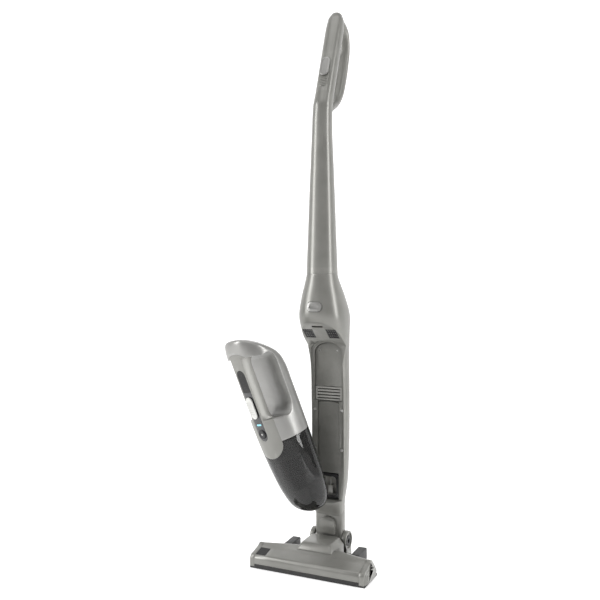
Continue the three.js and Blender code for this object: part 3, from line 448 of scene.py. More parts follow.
def dish_cutters(grow):
    low = DISH_BOTTOM + 5 - grow
    return [
        prism("y", arched(36 + grow, low, DISH_TOP + 10 + grow, 20), -50, LEDGE_Y + grow, name="ledge_room"),
        prism("y", arched(24 + grow, low, 337 + grow, 4), -50, DISH_Y + grow, name="low_room"),
        prism(
            "y", arched(31 + grow, 331 - grow, DISH_TOP + 5 + grow, 22),
            -50, DISH_Y + grow, name="high_room",
        ),
    ]


VENT_LEAN = -math.degrees(math.atan(LIP_SLOPE))


def on_lip(piece):
    return shifted(turned(piece, VENT_LEAN, 0, 0), 0, -17, lip_z(-17))


def screw_hole(side, z, grow):
    return drum("y", 3.2 + grow, LEDGE_Y - 3, LEDGE_Y + 2 + grow, side * 30.5, z, 24, name="screw_hole")


SCREWS = [(-1, 229), (1, 229), (-1, 312), (1, 312)]


# %% Carve the shell
def stick_core():
    core = spine_body(0)
    keep_inside(core, half_space_above_seam(0.8))
    keep_inside(core, block(-200, 200, -200, 200, 0, COVER_SEAM - GAP / 2))
    inner = spine_body(WALL, rows=60, columns=64)
    hollow = keep_inside(inner, block(-200, 200, -200, 200, DISH_BOTTOM + 12, 700))
    carve(hollow, open_front(WALL), *dish_cutters(WALL))
    carve(core, open_front(0), *dish_cutters(0), hollow)
    carve(core, prism("y", pill(37, 44, 6, 0, 151), 20, DISH_Y + 18.4))
    carve(core, prism("y", pill(34.6, 20.6, 10.2, 0, 531), -120, -20))
    for side in (-1, 1):
        carve(core, on_lip(block(side * 26 - 11.3, side * 26 + 11.3, -13.3, 17.3, -5, 1.7)))
    carve(core, on_lip(block(-12, 12, -25, -19, -6, 6)))
    carve(core, *(screw_hole(side, z, GAP) for side, z in SCREWS))
    return core


core = stick_core()
print("stick core:", len(core.data.polygons), "faces")


# %% Part the shoulder's cover from the spine
def cover_side(gap):
    side = block(-200, 200, -200, 20 - gap, DISH_TOP + 1 + gap, 700, name="cover_side")
    return carve(side, block(-200, 200, RIM_Y - 1, 200, 0, DISH_TOP + 14))


def smooth(piece, angle=32):
    wake(piece)
    bpy.ops.object.shade_smooth_by_angle(angle=math.radians(angle))
    return piece


shoulder_front = largest_only(keep_inside(copy_of(core, "shoulder_front"), cover_side(GAP / 2)))
shoulder_front.name = "shoulder_front"
spine = largest_only(carve(core, cover_side(-GAP / 2)))
spine.name = "spine"
for piece, node in ((shoulder_front, "shoulder_cover"), (spine, "spine_shell")):
    bevel_sharp(piece, 0.5, 2, 50)
    smooth(piece)
    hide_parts(node)
    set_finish(piece, "grey_plastic")
    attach(piece, "stick")
    print(piece.name, len(piece.data.polygons))

# %% [markdown]
# ## The tube and the handle
#
# The tube narrows upwards, bends back into the handle and ends in a round tip. A front cover and
# a rear shell meet along a parting line on each side, and the finger loop belongs to the rear
# shell. The same rolled body is cut twice by one surface, so that the two halves meet exactly.

# %% Rings along the tube
LEAN = math.radians(GRIP_LEAN)


def on_column(s):
    return TUBE_Y + math.sin(LEAN) * s, BEND_Z + math.cos(LEAN) * s


TUBE = [
    (TUBE_Y, COVER_SEAM + GAP / 2, 0, TUBE_FOOT),
    (TUBE_Y, COVER_SEAM + 60, 0, TUBE_FOOT - 2.2),
    (TUBE_Y, COVER_SEAM + 170, 0, TUBE_FOOT - 6),
    (TUBE_Y, BEND_Z - 42, 0, TUBE_HEAD),
    (TUBE_Y + 1, BEND_Z - 14, LEAN * 0.3, TUBE_HEAD - 0.4),
    (*on_column(10), LEAN * 0.85, TUBE_HEAD - 0.8),
    (*on_column(40), LEAN, TUBE_HEAD - 1.6),
    (*on_column(GRIP_LENGTH - 46), LEAN, TUBE_HEAD - 1.6),
    (*on_column(GRIP_LENGTH - 20), LEAN, TUBE_HEAD - 3.5),
    (*on_column(GRIP_LENGTH - 6), LEAN, TUBE_HEAD - 9),
    (*on_column(GRIP_LENGTH), LEAN, TUBE_HEAD - 16),
]


def tube_ring(t):
    """Where the tube is at t: its middle (y, z), its tilt and its half width, eased between the stations."""
    last = len(TUBE) - 1
    i = min(int(t * last), last - 1)
    w = t * last - i
    return [a + (b - a) * w for a, b in zip(TUBE[i], TUBE[i + 1])]


def tube_body(shrink, name="tube_body", rows=81, columns=64):
    def place(row, column):
        y, z, tilt, r = tube_ring(row / (rows - 1))
        half = max(r - shrink, 1)
        drop = shrink if row == rows - 1 else 0
        u, v = oval_point(half, -half, half, 2.3, (column + 0.5) / columns)
        return (
            u,
            y + v * math.cos(tilt) - drop * math.sin(tilt),
            z - v * math.sin(tilt) - drop * math.cos(tilt),
        )

    piece = rolled(name, rows, columns, place)
    if shrink == 0:
        ease(piece, 3)
    return piece


def ease(piece, times):
    """Takes the last kinks out between stations; the open ends stay where they are."""
    low = min(v.co.z for v in piece.data.vertices) + 1e-5
    wake(piece)
    hold = piece.vertex_groups.new(name="free")
    hold.add([v.index for v in piece.data.vertices if v.co.z > low], 1, "REPLACE")
    step = piece.modifiers.new("ease", "SMOOTH")
    step.factor = 0.5
    step.iterations = times
    step.vertex_group = "free"
    bpy.ops.object.modifier_apply(modifier=step.name)
    piece.vertex_groups.clear()
    return piece


def rear_share(gap):
    """All that is behind the parting line, which keeps its distance from the tube's middle."""
    corners = [(-60, 9 + gap), (60, 9 + gap), (60, 60), (-60, 60)]

    def place(row, column):
        y, z, tilt, _ = TUBE[row]
        u, v = corners[column]
        return u, y + v * math.cos(tilt), z - v * math.sin(tilt)

    return rolled("rear_share", len(TUBE), 4, place)


# %% The finger loop
LOOP = [
    (y, BEND_Z + up)
    for y, up in (
        (56, 205), (84, 211), (110, 197), (117, 165), (108, 125),
        (94, 85), (77, 52), (54, 29), (28, 14), (2, -4),
    )
]


def grip_loop(rows=61, columns=32):
    def place(row, column):
        t = row / (rows - 1)
        at = smooth_point(LOOP, t)
        run = (smooth_point(LOOP, min(t + 0.004, 1)) - smooth_point(LOOP, max(t - 0.004, 0))).normalized()
        u, v = oval_point(12.5, -8, 8, 2.4, (column + 0.5) / columns)
        return u, at.x + run.y * v, at.y - run.x * v

    return rolled("grip_loop", rows, columns, place)


# %% Cut the two halves
def on_grip(piece):
    return shifted(turned(piece, -GRIP_LEAN, 0, 0), 0, TUBE_Y, BEND_Z)


GRIP_FACE = -(TUBE_HEAD - 1.6)
SLIDER_AT, TRACK = 96, 72


def track_room(grow):
    shape = pill(22 + 2 * grow, TRACK + 2 * grow, 11 + grow, 0, SLIDER_AT - 13)
    return on_grip(prism("y", shape, -40, GRIP_FACE + 3.2 + grow, name="track_room"))


seam_plane = lambda: block(-200, 200, -200, 200, 0, COVER_SEAM + GAP / 2, name="below_seam")
hollow = tube_body(WALL, "tube_hollow", rows=41, columns=40)
rear_tube = keep_inside(tube_body(0, "rear_tube"), rear_share(GAP / 2))
carve(rear_tube, copy_of(hollow))
loop = carve(grip_loop(), tube_body(0.8, rows=41, columns=40))
before_line = carve(tube_body(-20, rows=11, columns=24), rear_share(GAP / 2))
carve(loop, before_line)
weld(rear_tube, loop)
carve(rear_tube, seam_plane())
rear_tube = largest_only(rear_tube)
front_tube = carve(tube_body(0, "front_tube"), hollow, rear_share(-GAP / 2), track_room(GAP), seam_plane())
front_tube = largest_only(front_tube)
for piece, node, name in ((front_tube, "tube_front", "front_tube"), (rear_tube, "tube_rear", "rear_tube")):
    piece.name = name
    bevel_sharp(piece, 0.45, 2, 50)
    smooth(piece)
    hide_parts(node)
    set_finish(piece, "grey_plastic")
    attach(piece, "stick")
    print(piece.name, len(piece.data.polygons))

# %% [markdown]
# ## The slider on the handle
#
# A pale stadium-shaped slider runs in a sunk track with ribs below it. The pad is a prism with a
# sunk middle: its front face is inset and pushed in, as one would with the mouse.

# %% Sink a face
def front_face(piece, axis_value):
    """Selects the one big face that looks along a direction."""
    wake(piece)
    for thing in (piece.data.vertices, piece.data.edges, piece.data.polygons):
        for one in thing:
            one.select = False
    best = max(piece.data.polygons, key=lambda f: f.area * max(f.normal.dot(axis_value), 0) ** 4)
    best.select = True
    bpy.context.tool_settings.mesh_select_mode = (False, False, True)


def sunk_front(piece, margin, depth, direction=Vector((0, -1, 0))):
    front_face(piece, direction)
    bpy.ops.object.mode_set(mode="EDIT")
    bpy.ops.mesh.inset(thickness=margin * MM, depth=0)
    bpy.ops.mesh.inset(thickness=abs(depth) * MM, depth=-depth * MM)
    bpy.ops.object.mode_set(mode="OBJECT")
    bpy.context.tool_settings.mesh_select_mode = (True, False, False)
    return piece


# %% Track, slider and release button
def handle_track():
    plate = prism("y", pill(22, TRACK, 11, 0, SLIDER_AT - 13), GRIP_FACE + 1.4, GRIP_FACE + 3.2, 0.25)
    for k in range(6):
        z = SLIDER_AT - 45.5 + k * 4
        half = 8.5 if k else 6.5
        rib = block(-half, half, GRIP_FACE + 0.4, GRIP_FACE + 1.7, z, z + 1.8, 0.4)
        weld(plate, rib)
    return on_grip(plate)


track = handle_track()
track.name = "handle_track"
power_pad = prism("y", pill(20, 44, 10, 0, SLIDER_AT), GRIP_FACE - 3.4, GRIP_FACE - 0.2)
sunk_front(power_pad, 3, 0.9)
bevel_sharp(power_pad, 0.8, 3, 50)
power_pad = on_grip(power_pad)
power_pad.name = "power_pad"

release = prism("y", pill(33, 19, 9.45, 0, 531, 14), -54, SHOULDER_FRONT + 16)
front_skin = shifted(spine_body(0, rows=60, columns=64), 0, -1.4, 0)
keep_inside(release, front_skin)
dimple = prism("y", pill(20, 8, 3.95, 0, 531), -120, SHOULDER_FRONT + 0.2)
carve(release, dimple)
weld(release, prism("y", pill(37, 23, 9, 0, 531), SHOULDER_FRONT + 12.5, SHOULDER_FRONT + 16))
release.name = "release"
bevel_sharp(release, 0.8, 3, 50)
for piece, node, slot, body in (
    (track, "slider_track", "grey_plastic", "stick"),
    (power_pad, "stick_slider", "silver_plastic", "power_slider"),
    (release, "release_button", "silver_plastic", "release"),
):
    smooth(piece)
    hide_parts(node)
    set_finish(piece, slot)
    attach(piece, body)
    print(piece.name, len(piece.data.polygons))

# %% [markdown]
# ## What lies in the dish
#
# Two raised panels, a louvre between them, and the intake that the hand unit's mouth sits on.
# The panels are prisms with rounded front edges; the louvre is a frame with slanting slots.

# %% Panels, louvre and vents
def dock_panels():
    upper = prism("y", arched(30.4, 361, DISH_TOP + 4.4, 21.5, 32), DISH_Y - 6, DISH_Y - GAP, 1.2, 3)
    for side in (-1, 1):
        carve(upper, drum("y", 1.8, 10, 40, side * 20, 437, 20))
    upper.name = "upper_panel"
    lower = prism("y", arched(23.4, 179, 329, 4, 16), DISH_Y - 7, DISH_Y - GAP, 1.2, 3)
    lower.name = "lower_panel"
    return upper, lower


def dock_louvre():
    frame_plate = block(-30.2, 30.2, DISH_Y - 6, DISH_Y - GAP, 332, 360, 0.5)
    for k in range(4):
        z = 335 + k * 6.4
        slot = [(DISH_Y - 7, z - 1), (DISH_Y + 1, z + 1.5), (DISH_Y + 1, z + 4.5), (DISH_Y - 7, z + 2)]
        carve(frame_plate, prism("x", slot, -26, 26))
    frame_plate.name = "dock_louvre"
    return bevel_sharp(frame_plate, 0.3, 2)


def vent_plate(side):
    plate = block(side * 26 - 11, side * 26 + 11, -13, 17, 0.2, 1.4)
    for row in range(3):
        for k in range(4):
            x, y = side * 26 - 8.6 + k * 4.8, -10.5 + row * 9
            slot = prism("z", pill(2.8, 7.4, 1.3, x + 1.4, y + 3.7, 3), -2, 4)
            carve(plate, slot)
    plate.name = "vent_left" if side < 0 else "vent_right"
    return on_lip(plate)


upper_panel, lower_panel = dock_panels()
louvre = dock_louvre()
vents = [vent_plate(-1), vent_plate(1)]

# %% The intake and its duct
intake = prism("y", pill(46.8, 52, 9, 0, 151.5), DISH_Y - 6, DISH_Y - GAP)
carve(intake, prism("y", pill(34, 40, 8, 0, 151), 0, 60))
bevel_sharp(intake, 0.8, 3, 50)
intake.name = "intake_rim"
duct = prism("y", pill(36.4, 43.4, 5.7, 0, 151), DISH_Y, DISH_Y + 18)
carve(duct, prism("y", pill(32, 39, 4, 0, 151), DISH_Y - 1, DISH_Y + 15.6))
carve(duct, drum("z", 6.5, 100, 151, 0, DISH_Y + 8, 32))
weld(
    duct, block(-5, 5, DISH_Y + 3, DISH_Y + 16, 131, 150, 0.8),
    block(-0.8, 0.8, DISH_Y + 4, DISH_Y + 16, 150, 171, 0.3),
)
bevel_sharp(duct, 0.3, 2, 50)
duct.name = "intake_throat"

# %% Screws and pins


def dock_screw(side, z, index):
    screw = drum("y", 3.2, LEDGE_Y - 0.2, LEDGE_Y + 2, side * 30.5, z, 32, 0.5)
    weld(screw, drum("y", 1.4, LEDGE_Y + 1, LEDGE_Y + 9, side * 30.5, z, 20))
    for a, b in ((2, 0.5), (0.5, 2)):
        carve(screw, block(side * 30.5 - a, side * 30.5 + a, 0, LEDGE_Y + 0.9, z - b, z + b))
    screw.name = f"cross_screw_{index}"
    return screw


def charging_pin(side):
    pin = drum("y", 1.5, DISH_Y - 6, DISH_Y + 4, side * 20, 437, 24, 0.5)
    pin.name = "pin_left" if side < 0 else "pin_right"
    return pin


dish_pieces = [
    (upper_panel, "dock_upper_panel", "grey_plastic"), (lower_panel, "dock_lower_panel", "grey_plastic"),
    (louvre, "louvre_grille", "light_plastic"), (vents[0], "vent_grille_left", "black_plastic"),
    (vents[1], "vent_grille_right", "black_plastic"), (intake, "intake_frame", "black_plastic"),
    (duct, "intake_duct", "light_plastic"),
    (charging_pin(-1), "charge_pin_left", "steel"), (charging_pin(1), "charge_pin_right", "steel"),
]
dish_pieces += [(dock_screw(*spot, i + 1), f"dock_screw_{i + 1}", "steel") for i, spot in enumerate(SCREWS)]
for piece, node, slot in dish_pieces:
    smooth(piece)
    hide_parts(node)
    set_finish(piece, slot)
    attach(piece, "stick")
print("in the dish:", [piece.name for piece, _, _ in dish_pieces])

# %% [markdown]
# ## The neck
#
# A barrel lies in the nozzle's two ears, a squarish column stands on it, and an arched tongue
# stands out of the column's front. The column is rolled, and the barrel is a drum welded to it.

# %% Barrel, column and tongue
def neck_column(w, front, back, low, high, name="column"):
    def place(row, column):
        x, y = oval_point(w, front, back, 5, (column + 0.5) / 64)
        return x, y, low + (high - low) * row / 5

    return rolled(name, 6, 64, place)


neck = drum("x", 17, -NECK_HALF, NECK_HALF, PIVOT_Y, PIVOT_Z, 64, 1.2, "neck")
column = neck_column(NECK_HALF, NECK_FRONT, NECK_REAR, PIVOT_Z + 4, 146)
below = block(-150, 150, -150, 250, -900, -0.4)
below = shifted(turned(below, SEAM_LEAN, 0, 0), 0, *SEAM_SPOT)
weld(neck, column)
keep_inside(neck, below)
carve(
    neck,
    drum("x", 13, -21.5, 21.5, PIVOT_Y, PIVOT_Z, 48),
    neck_column(21.5, NECK_FRONT + 4.5, NECK_REAR - 4, PIVOT_Z + 2, 80),
    block(-15, 15, 9, PIVOT_Y, PIVOT_Z - 10, PIVOT_Z + 6),
    drum("x", 7.8, -100, 100, PIVOT_Y, PIVOT_Z, 40),
    shifted(turned(drum("z", 10.8, -22, 5, 0, 0, 40), SEAM_LEAN, 0, 0), 0, *SEAM_SPOT),
)
neck = largest_only(neck)
neck.name = "neck"
bevel_sharp(neck, 0.7, 2, 50)

tongue = prism("y", arched(17.5, 54, 88.5, 17.5, 32), 0, NECK_FRONT - GAP, name="tongue")
face = [(23.7, 52), (15, 53), (14, 56), (14.6, 81), (16.5, 85.5), (20, 89), (23.7, 89.5)]
keep_inside(tongue, prism("x", face, -30, 30))
bevel_sharp(tongue, 1.4, 4, 40)
collar = drum("z", 10.5, -14, 6, 0, 0, 48)
carve(collar, drum("z", 8, -20, 20, 0, 0, 48))
collar = shifted(turned(collar, SEAM_LEAN, 0, 0), 0, *SEAM_SPOT)
collar.name = "seam_collar"
for piece, node, slot in (
    (neck, "neck_yoke", "grey_plastic"), (tongue, "neck_tongue", "grey_plastic"),
    (collar, "swivel_collar", "black_plastic"),
):
    smooth(piece)
    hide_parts(node)
    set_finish(piece, slot)
    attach(piece, "neck")
    print(piece.name, len(piece.data.polygons))

# %% [markdown]
# ## The floor nozzle
#
# A long low cover with a crease along its top, two end caps with stepped contours, a rubber strip
# along its front foot, a hood over the joint, and two arms behind with wheels in them.
# The cover's section changes towards its ends, so it is rolled along X from one outline.

# %% Sections of the cover
HEAD_WIDTH, HEAD_FRONT, HEAD_REAR, HEAD_TOP, LIP_TOP, CAP_WIDTH = 250, -95, -20, 40, 25, 12.5
CAP_INNER = HEAD_WIDTH / 2 - CAP_WIDTH
SOLE_TOP = 4.3


def head_outline(x, inset=0.0, low=SOLE_TOP, round_=2.2):
    side = min(max((abs(x) - 50) / 60, 0), 1)
    rear_top = HEAD_REAR - 8 - 17 * side - inset
    front, top = HEAD_FRONT + inset, HEAD_TOP - inset
    corners = [
        (front, low), (front, LIP_TOP - 3), (front + 5, LIP_TOP + 3 - inset), (front + 32, top - 5.5),
        (front + 38, top - 3.5), (rear_top - 7, top), (rear_top - 1, top - 1.5), (HEAD_REAR - inset, 12),
        (HEAD_REAR - inset, low),
    ]
    return rounded_corners(corners, round_, 3)


def head_roll(stops, low=SOLE_TOP, name="head_roll"):
    """stops are (x, inset) pairs."""
    outlines = [head_outline(x, inset, low) for x, inset in stops]

    def place(row, column):
        return (stops[row][0], *outlines[row][column])

    return rolled(name, len(stops), len(outlines[0]), place)


belly = [(x, 0) for x in (-CAP_INNER + GAP, -80, -50, 0, 50, 80, CAP_INNER - GAP)]
cover = head_roll(belly, name="nozzle_cover")
hollow = head_roll([(x * 1.02, WALL) for x, _ in belly], low=-1)
inlay_box = (-CAP_INNER - 1, -CAP_INNER + GAP + 22.3, HEAD_FRONT + 5.7, HEAD_FRONT + 30.3, 20, 60)
inlay_room = carve(block(*inlay_box), head_roll([(-160, 1.2), (-50, 1.2)], low=-5))
port = block(-14, 14, HEAD_REAR - 12, HEAD_REAR + 5, 10, 26)
carve(cover, hollow, block(-200, 200, HEAD_FRONT - 1, HEAD_FRONT + 2.6, -1, 10.3), inlay_room, port)
cover = largest_only(cover)
cover.name = "nozzle_cover"
bevel_sharp(cover, 0.4, 2, 55)

# %% The inlay, a plate with a fine waffle on the sloping band
inlay = head_roll([(-CAP_INNER + GAP, 0), (-CAP_INNER + GAP + 22, 0)])
keep_inside(inlay, block(-200, 0, HEAD_FRONT + 6, HEAD_FRONT + 30, 20, 60))
carve(inlay, head_roll([(-160, 0.95), (-50, 0.95)], low=-5))
for k in range(6):
    x = -CAP_INNER + 3.6 + k * 3.4
    groove = block(x - 0.4, x + 0.4, HEAD_FRONT + 5, HEAD_FRONT + 31, 20, 60)
    carve(inlay, carve(groove, head_roll([(-160, 0.45), (-50, 0.45)], low=-5)))
for k in range(6):
    y = HEAD_FRONT + 9 + k * 3.6
    groove = block(-CAP_INNER, -CAP_INNER + 23, y - 0.4, y + 0.4, 20, 60)
    carve(inlay, carve(groove, head_roll([(-160, 0.45), (-50, 0.45)], low=-5)))
inlay = largest_only(inlay)
inlay.name = "waffle_inlay"


# %% End caps
def end_cap(side):
    half = HEAD_WIDTH / 2
    stops = [(CAP_INNER, 0), (half - 4, 0), (half - 2.6, 0.6), (half - 1.8, 2)]
    for step in range(3):
        x, inset = half - 1.8 + 1.1 * step, 4.6 + 4.2 * step
        stops += [(x, inset), (x + 0.8, inset + 0.25), (x + 1.1, inset + 0.8)]
    cap = head_roll(stops)
    carve(cap, head_roll([(CAP_INNER - 1, WALL), (CAP_INNER + 7, WALL)], low=-1))
    carve(
        cap, drum("x", 2.9, CAP_INNER, HEAD_WIDTH / 2 - 3, -70, 14.4, 24),
        block(0, 200, -100, 0, -5, SOLE_TOP),
    )
    cap = largest_only(cap)
    cap.name = "cap_right"
    bevel_sharp(cap, 0.35, 2, 50)
    if side < 0:
        other = mirrored(cap, "cap_left")
        bpy.data.objects.remove(cap)
        return other
    return cap


caps = [end_cap(-1), end_cap(1)]
bumper = block(
    -CAP_INNER + GAP, CAP_INNER - GAP, HEAD_FRONT - 0.6, HEAD_FRONT + 2.3,
    SOLE_TOP, 10, 0.9, 3, "front_strip",
)


# %% The hood over the joint
def hood_roll(rings, name="hood"):
    def place(row, column):
        half, y0, y1, z, r = rings[row]
        shape = pill(2 * half, y1 - y0, r, 0, (y0 + y1) / 2, 5)
        return (*shape[column], z)

    return rolled(name, len(rings), len(pill(80, 70, 4, 0, 0, 5)), place)


REAR = PIVOT_Y - 20 - 2
hood = hood_roll([
    (40, -53, REAR, SOLE_TOP, 4), (39.5, -52, REAR, 36.5, 4.2),
    (38.8, -51, REAR, 39, 4.6), (32.2, -42, REAR - 2.6, 48.8, 6),
    (30.6, -39.6, REAR - 3.2, 50.4, 6.5), (27.5, -36.5, REAR - 4.5, 51, 6.5),
])
hood_hollow = hood_roll([
    (37.6, -50.6, REAR + 20, 3, 3), (37.1, -49.6, REAR + 20, 36.5, 3),
    (28.6, -37.6, REAR + 20, 48.4, 3),
])
under = head_roll([(-60, -GAP), (-50, -GAP), (50, -GAP), (60, -GAP)], low=-5)
carve(hood, hood_hollow, under, drum("x", 21, -60, 60, PIVOT_Y, PIVOT_Z, 64))
hood = largest_only(hood)
hood.name = "hood"
bevel_sharp(hood, 0.6, 2, 50)


# %% Ears, pins, sole plate
def mirror_if(side, piece, name):
    if side > 0:
        return piece
    other = mirrored(piece, name)
    bpy.data.objects.remove(piece)
    return other


def pivot_ear(side):
    ear = drum("x", 20, 31.3, 41.3, PIVOT_Y, PIVOT_Z, 72, 1.4)
    weld(ear, block(31.3, 41.3, PIVOT_Y - 14, PIVOT_Y + 14, SOLE_TOP, PIVOT_Z, 0.4))
    carve(ear, drum("x", 16, 38.3, 45, PIVOT_Y, PIVOT_Z, 64), drum("x", 7.3, 20, 50, PIVOT_Y, PIVOT_Z, 48))
    ring = drum("x", 14.6, 38.0, 39.6, PIVOT_Y, PIVOT_Z, 64, 0.4)
    weld(ear, carve(ring, drum("x", 12.6, 30, 50, PIVOT_Y, PIVOT_Z, 64)))
    ear.name = "ear_right"
    bevel_sharp(ear, 0.4, 2, 50)
    return mirror_if(side, ear, "ear_left")


def pivot_pin(side):
    pin = drum("x", 7, 23.5, 38.3, PIVOT_Y, PIVOT_Z, 48)
    weld(
        pin, drum("x", 6, 37.3, 39.3, PIVOT_Y, PIVOT_Z, 48),
        drum("x", 11, 38.6, 40.7, PIVOT_Y, PIVOT_Z, 64, 0.5),
    )
    star = []
    for k in range(12):
        r = 6.2 if k % 2 else 4.3
        star.append((PIVOT_Y + r * math.cos(k * math.pi / 6), PIVOT_Z + r * math.sin(k * math.pi / 6)))
    carve(pin, prism("x", star, 36.5, 45))
    pin.name = "pin_right_star"
    return mirror_if(side, pin, "pin_left_star")


def sole():
    plate = block(-124, 124, HEAD_FRONT + 3, HEAD_REAR, 0, 4, 0.5)
    web = block(-84, 84, HEAD_REAR - 2, 32, 0, 4, 0.5)
    foot = block(-44.5, 44.5, 0, PIVOT_Y + 16, 0, 4, 0.5)
    weld(plate, web, foot)
    for side in (-1, 1):
        corners = [
            (HEAD_REAR + GAP, 0), (32, 0), (32, 29), (29, 32.5),
            (HEAD_REAR + 4, 31), (HEAD_REAR + GAP, 28),
        ]
        arm = prism("x", rounded_corners(corners, 3, 4), side * 75.5 - 8.5, side * 75.5 + 8.5, 1.2, 3)
        keep_inside(arm, block(-200, 200, -100, 100, 0.05, 60))
        weld(plate, arm)
        carve(
            plate,
            drum("x", 12.4, side * 75.5 - 5.5, side * 75.5 + 5.5, 18, 11, 48),
            block(side * 75.5 - 5.5, side * 75.5 + 5.5, 5.6, 30.4, -1, 11),
            drum("x", 2.5, side * 75.5 - 7.8, side * 75.5 + 7.8, 18, 11, 24),
            block(side * 90 - 7.8, side * 90 + 7.8, -41, -27, -1, 5),
        )
    carve(plate, block(-108.5, 108.5, -85, -55, -1, 5))
    plate.name = "sole"
    return bevel_sharp(plate, 0.3, 2, 50)


ears = [pivot_ear(-1), pivot_ear(1)]
pins = [pivot_pin(-1), pivot_pin(1)]
sole_piece = sole()
head_pieces = [
    (cover, "head_cover", "grey_plastic"), (inlay, "cover_inlay", "black_plastic"),
    (caps[0], "end_cap_left", "grey_plastic"), (caps[1], "end_cap_right", "grey_plastic"),
    (bumper, "front_bumper", "rubber"), (hood, "joint_hood", "grey_plastic"),
    (ears[0], "pivot_ear_left", "grey_plastic"), (ears[1], "pivot_ear_right", "grey_plastic"),
    (pins[0], "pivot_pin_left", "black_plastic"), (pins[1], "pivot_pin_right", "black_plastic"),
    (sole_piece, "sole_plate", "black_plastic"),
]
for piece, node, slot in head_pieces:
    smooth(piece)
    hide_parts(node)
    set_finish(piece, slot)
    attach(piece, "floor_head")
print("nozzle:", [(piece.name, len(piece.data.polygons)) for piece, _, _ in head_pieces])


# %% Wheels
def rear_wheel(side):
    x = side * 75.5
    wheel = drum("x", 11, x - 4.7, x + 4.7, 18, 11, 64, 0.8)
    for groove in (-2.4, 0, 2.4):
        ring = drum("x", 12, x + groove - 0.4, x + groove + 0.4, 18, 11, 64)
        carve(wheel, carve(ring, drum("x", 10.3, x - 9, x + 9, 18, 11, 64)))
    carve(wheel, drum("x", 7.6, x + 3.9, x + 6, 18, 11, 48), drum("x", 7.6, x - 6, x - 3.9, 18, 11, 48))
    weld(wheel, drum("x", 2.2, x - 7.2, x + 7.2, 18, 11, 24, 0.3))
    wheel.name = "wheel_left" if side < 0 else "wheel_right"
    return wheel


def front_roller(side):
    x = side * 90
    roller = drum("x", 6, x - 7, x + 7, -34, 6, 48, 0.8)
    for groove in (-3, 0, 3):
        ring = drum("x", 7, x + groove - 0.5, x + groove + 0.5, -34, 6, 48)
        carve(roller, carve(ring, drum("x", 5.4, x - 9, x + 9, -34, 6, 48)))
    roller.name = "roller_left" if side < 0 else "roller_right"
    return roller


for side, word in ((-1, "left"), (1, "right")):
    for piece, node, body in (
        (rear_wheel(side), f"rear_wheel_{word}", f"{word}_wheel"),
        (front_roller(side), f"front_roller_{word}", f"{word}_roller"),
    ):
        smooth(piece)
        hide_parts(node)
        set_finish(piece, "rubber")
        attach(piece, body)

# %% [markdown]
# ## The brush
#
# A roller with four helical rows of bristle tufts. One tuft is a thin cone cut from a primitive,
# and the rows are copies of its mesh, joined into one piece with the core.

# %% Core and tufts
BRUSH_Y, BRUSH_Z = -70, 14.4
brush = drum("x", 8.5, -106.5, 98.5, BRUSH_Y, BRUSH_Z, 40, 0.8, "brush")
weld(
    brush, drum("x", 2.6, -120, 120, BRUSH_Y, BRUSH_Z, 20),
    drum("x", 5.3, 102.5, 108.5, BRUSH_Y, BRUSH_Z, 40),
)
bpy.ops.object.select_all(action="DESELECT")
bpy.ops.mesh.primitive_cone_add(
    vertices=6, radius1=1.5 * MM, radius2=2.1 * MM, depth=6.4 * MM, location=(0, 0, 10.6 * MM)
)
tuft = named("tuft")
tufts = []
for row in range(4):
    for k in range(44):
        x = -105 + k * 202 / 43
        turn = 360 * row / 4 + 180 * k / 43
        copy = copy_of(tuft, "tuft_copy")
        copy.data.transform(
            Matrix.Translation(Vector((x, BRUSH_Y, BRUSH_Z)) * MM)
            @ Matrix.Rotation(math.radians(turn), 4, "X")
        )
        tufts.append(copy)
bpy.data.objects.remove(tuft)
bpy.ops.object.select_all(action="DESELECT")
for copy in tufts + [brush]:
    copy.select_set(True)
bpy.context.view_layer.objects.active = brush
bpy.ops.object.join()
brush.name = "brush"
smooth(brush)
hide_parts("brush_roller")
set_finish(brush, "black_plastic")
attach(brush, "brush")
print("brush:", len(brush.data.polygons), "faces")

# %% [markdown]
# ## The hand unit
#
# The hand unit is one long egg-ended body. It is drawn upright in its dock, then tipped forward,
# turned out and leaned over about the corner of its nose, as the frame has it. Its wall is cut by
# a few big shapes: a finger room, a front oval with a tongue, and a level cut for the bin's top.
# Each shape is made once per use.

# %% Sections from the nose to the crown: height, half width, front, back, squareness
TIP_ANGLE, TURN_ANGLE, SIDE_LEAN, TIP_SPOT = 12, 24, 12, (-28, 10, 122)
UNIT = [
    (0, 16, -26, 0, 2.2), (5, 26, -38, 10, 2.3), (20, 36, -52, 17, 2.4), (55, 45, -63, 21, 2.4),
    (112, 50, -70, 23, 2.4), (172, 53, -73, 24, 2.4), (282, 54, -74, 24, 2.4), (335, 53, -73, 23.5, 2.4),
    (352, 49, -69, 19, 2.3), (360, 38, -58, 8, 2.2),
]
UNIT_FRONT, UNIT_MIDDLE = -74, -25
BIN_TOP, TONGUE_BOTTOM, GRIP_LOW, GRIP_HIGH = 287, 253, 330, 462


def unit_body(shrink, name="unit_body", rows=80, columns=96):
    crown = LIP_SLOPE * 0.9

    def place(row, column):
        t = row / (rows - 1)
        z, w, front, back, n = station(UNIT, t)
        share = min(max((z - 200) / 130, 0), 1)
        slant = crown * share * share * (3 - 2 * share)
        lift = shrink * (1 - t / 0.08 if t < 0.08 else -(t - 0.92) / 0.08 if t > 0.92 else 0)
        x, y = oval_point(w - shrink, front + shrink, back - shrink, n, (column + 0.5) / columns)
        return x, y, DISH_BOTTOM + z + lift - (y - UNIT_MIDDLE) * slant

    return rolled(name, rows, columns, place)


def quad(p0, p1, p2, steps=12):
    """Points on a curve that leaves p0 towards p1 and arrives at p2."""
    out = []
    for k in range(steps + 1):
        t = k / steps
        out.append(tuple((1 - t) ** 2 * a + 2 * t * (1 - t) * b + t * t * c for a, b, c in zip(p0, p1, p2)))
    return out


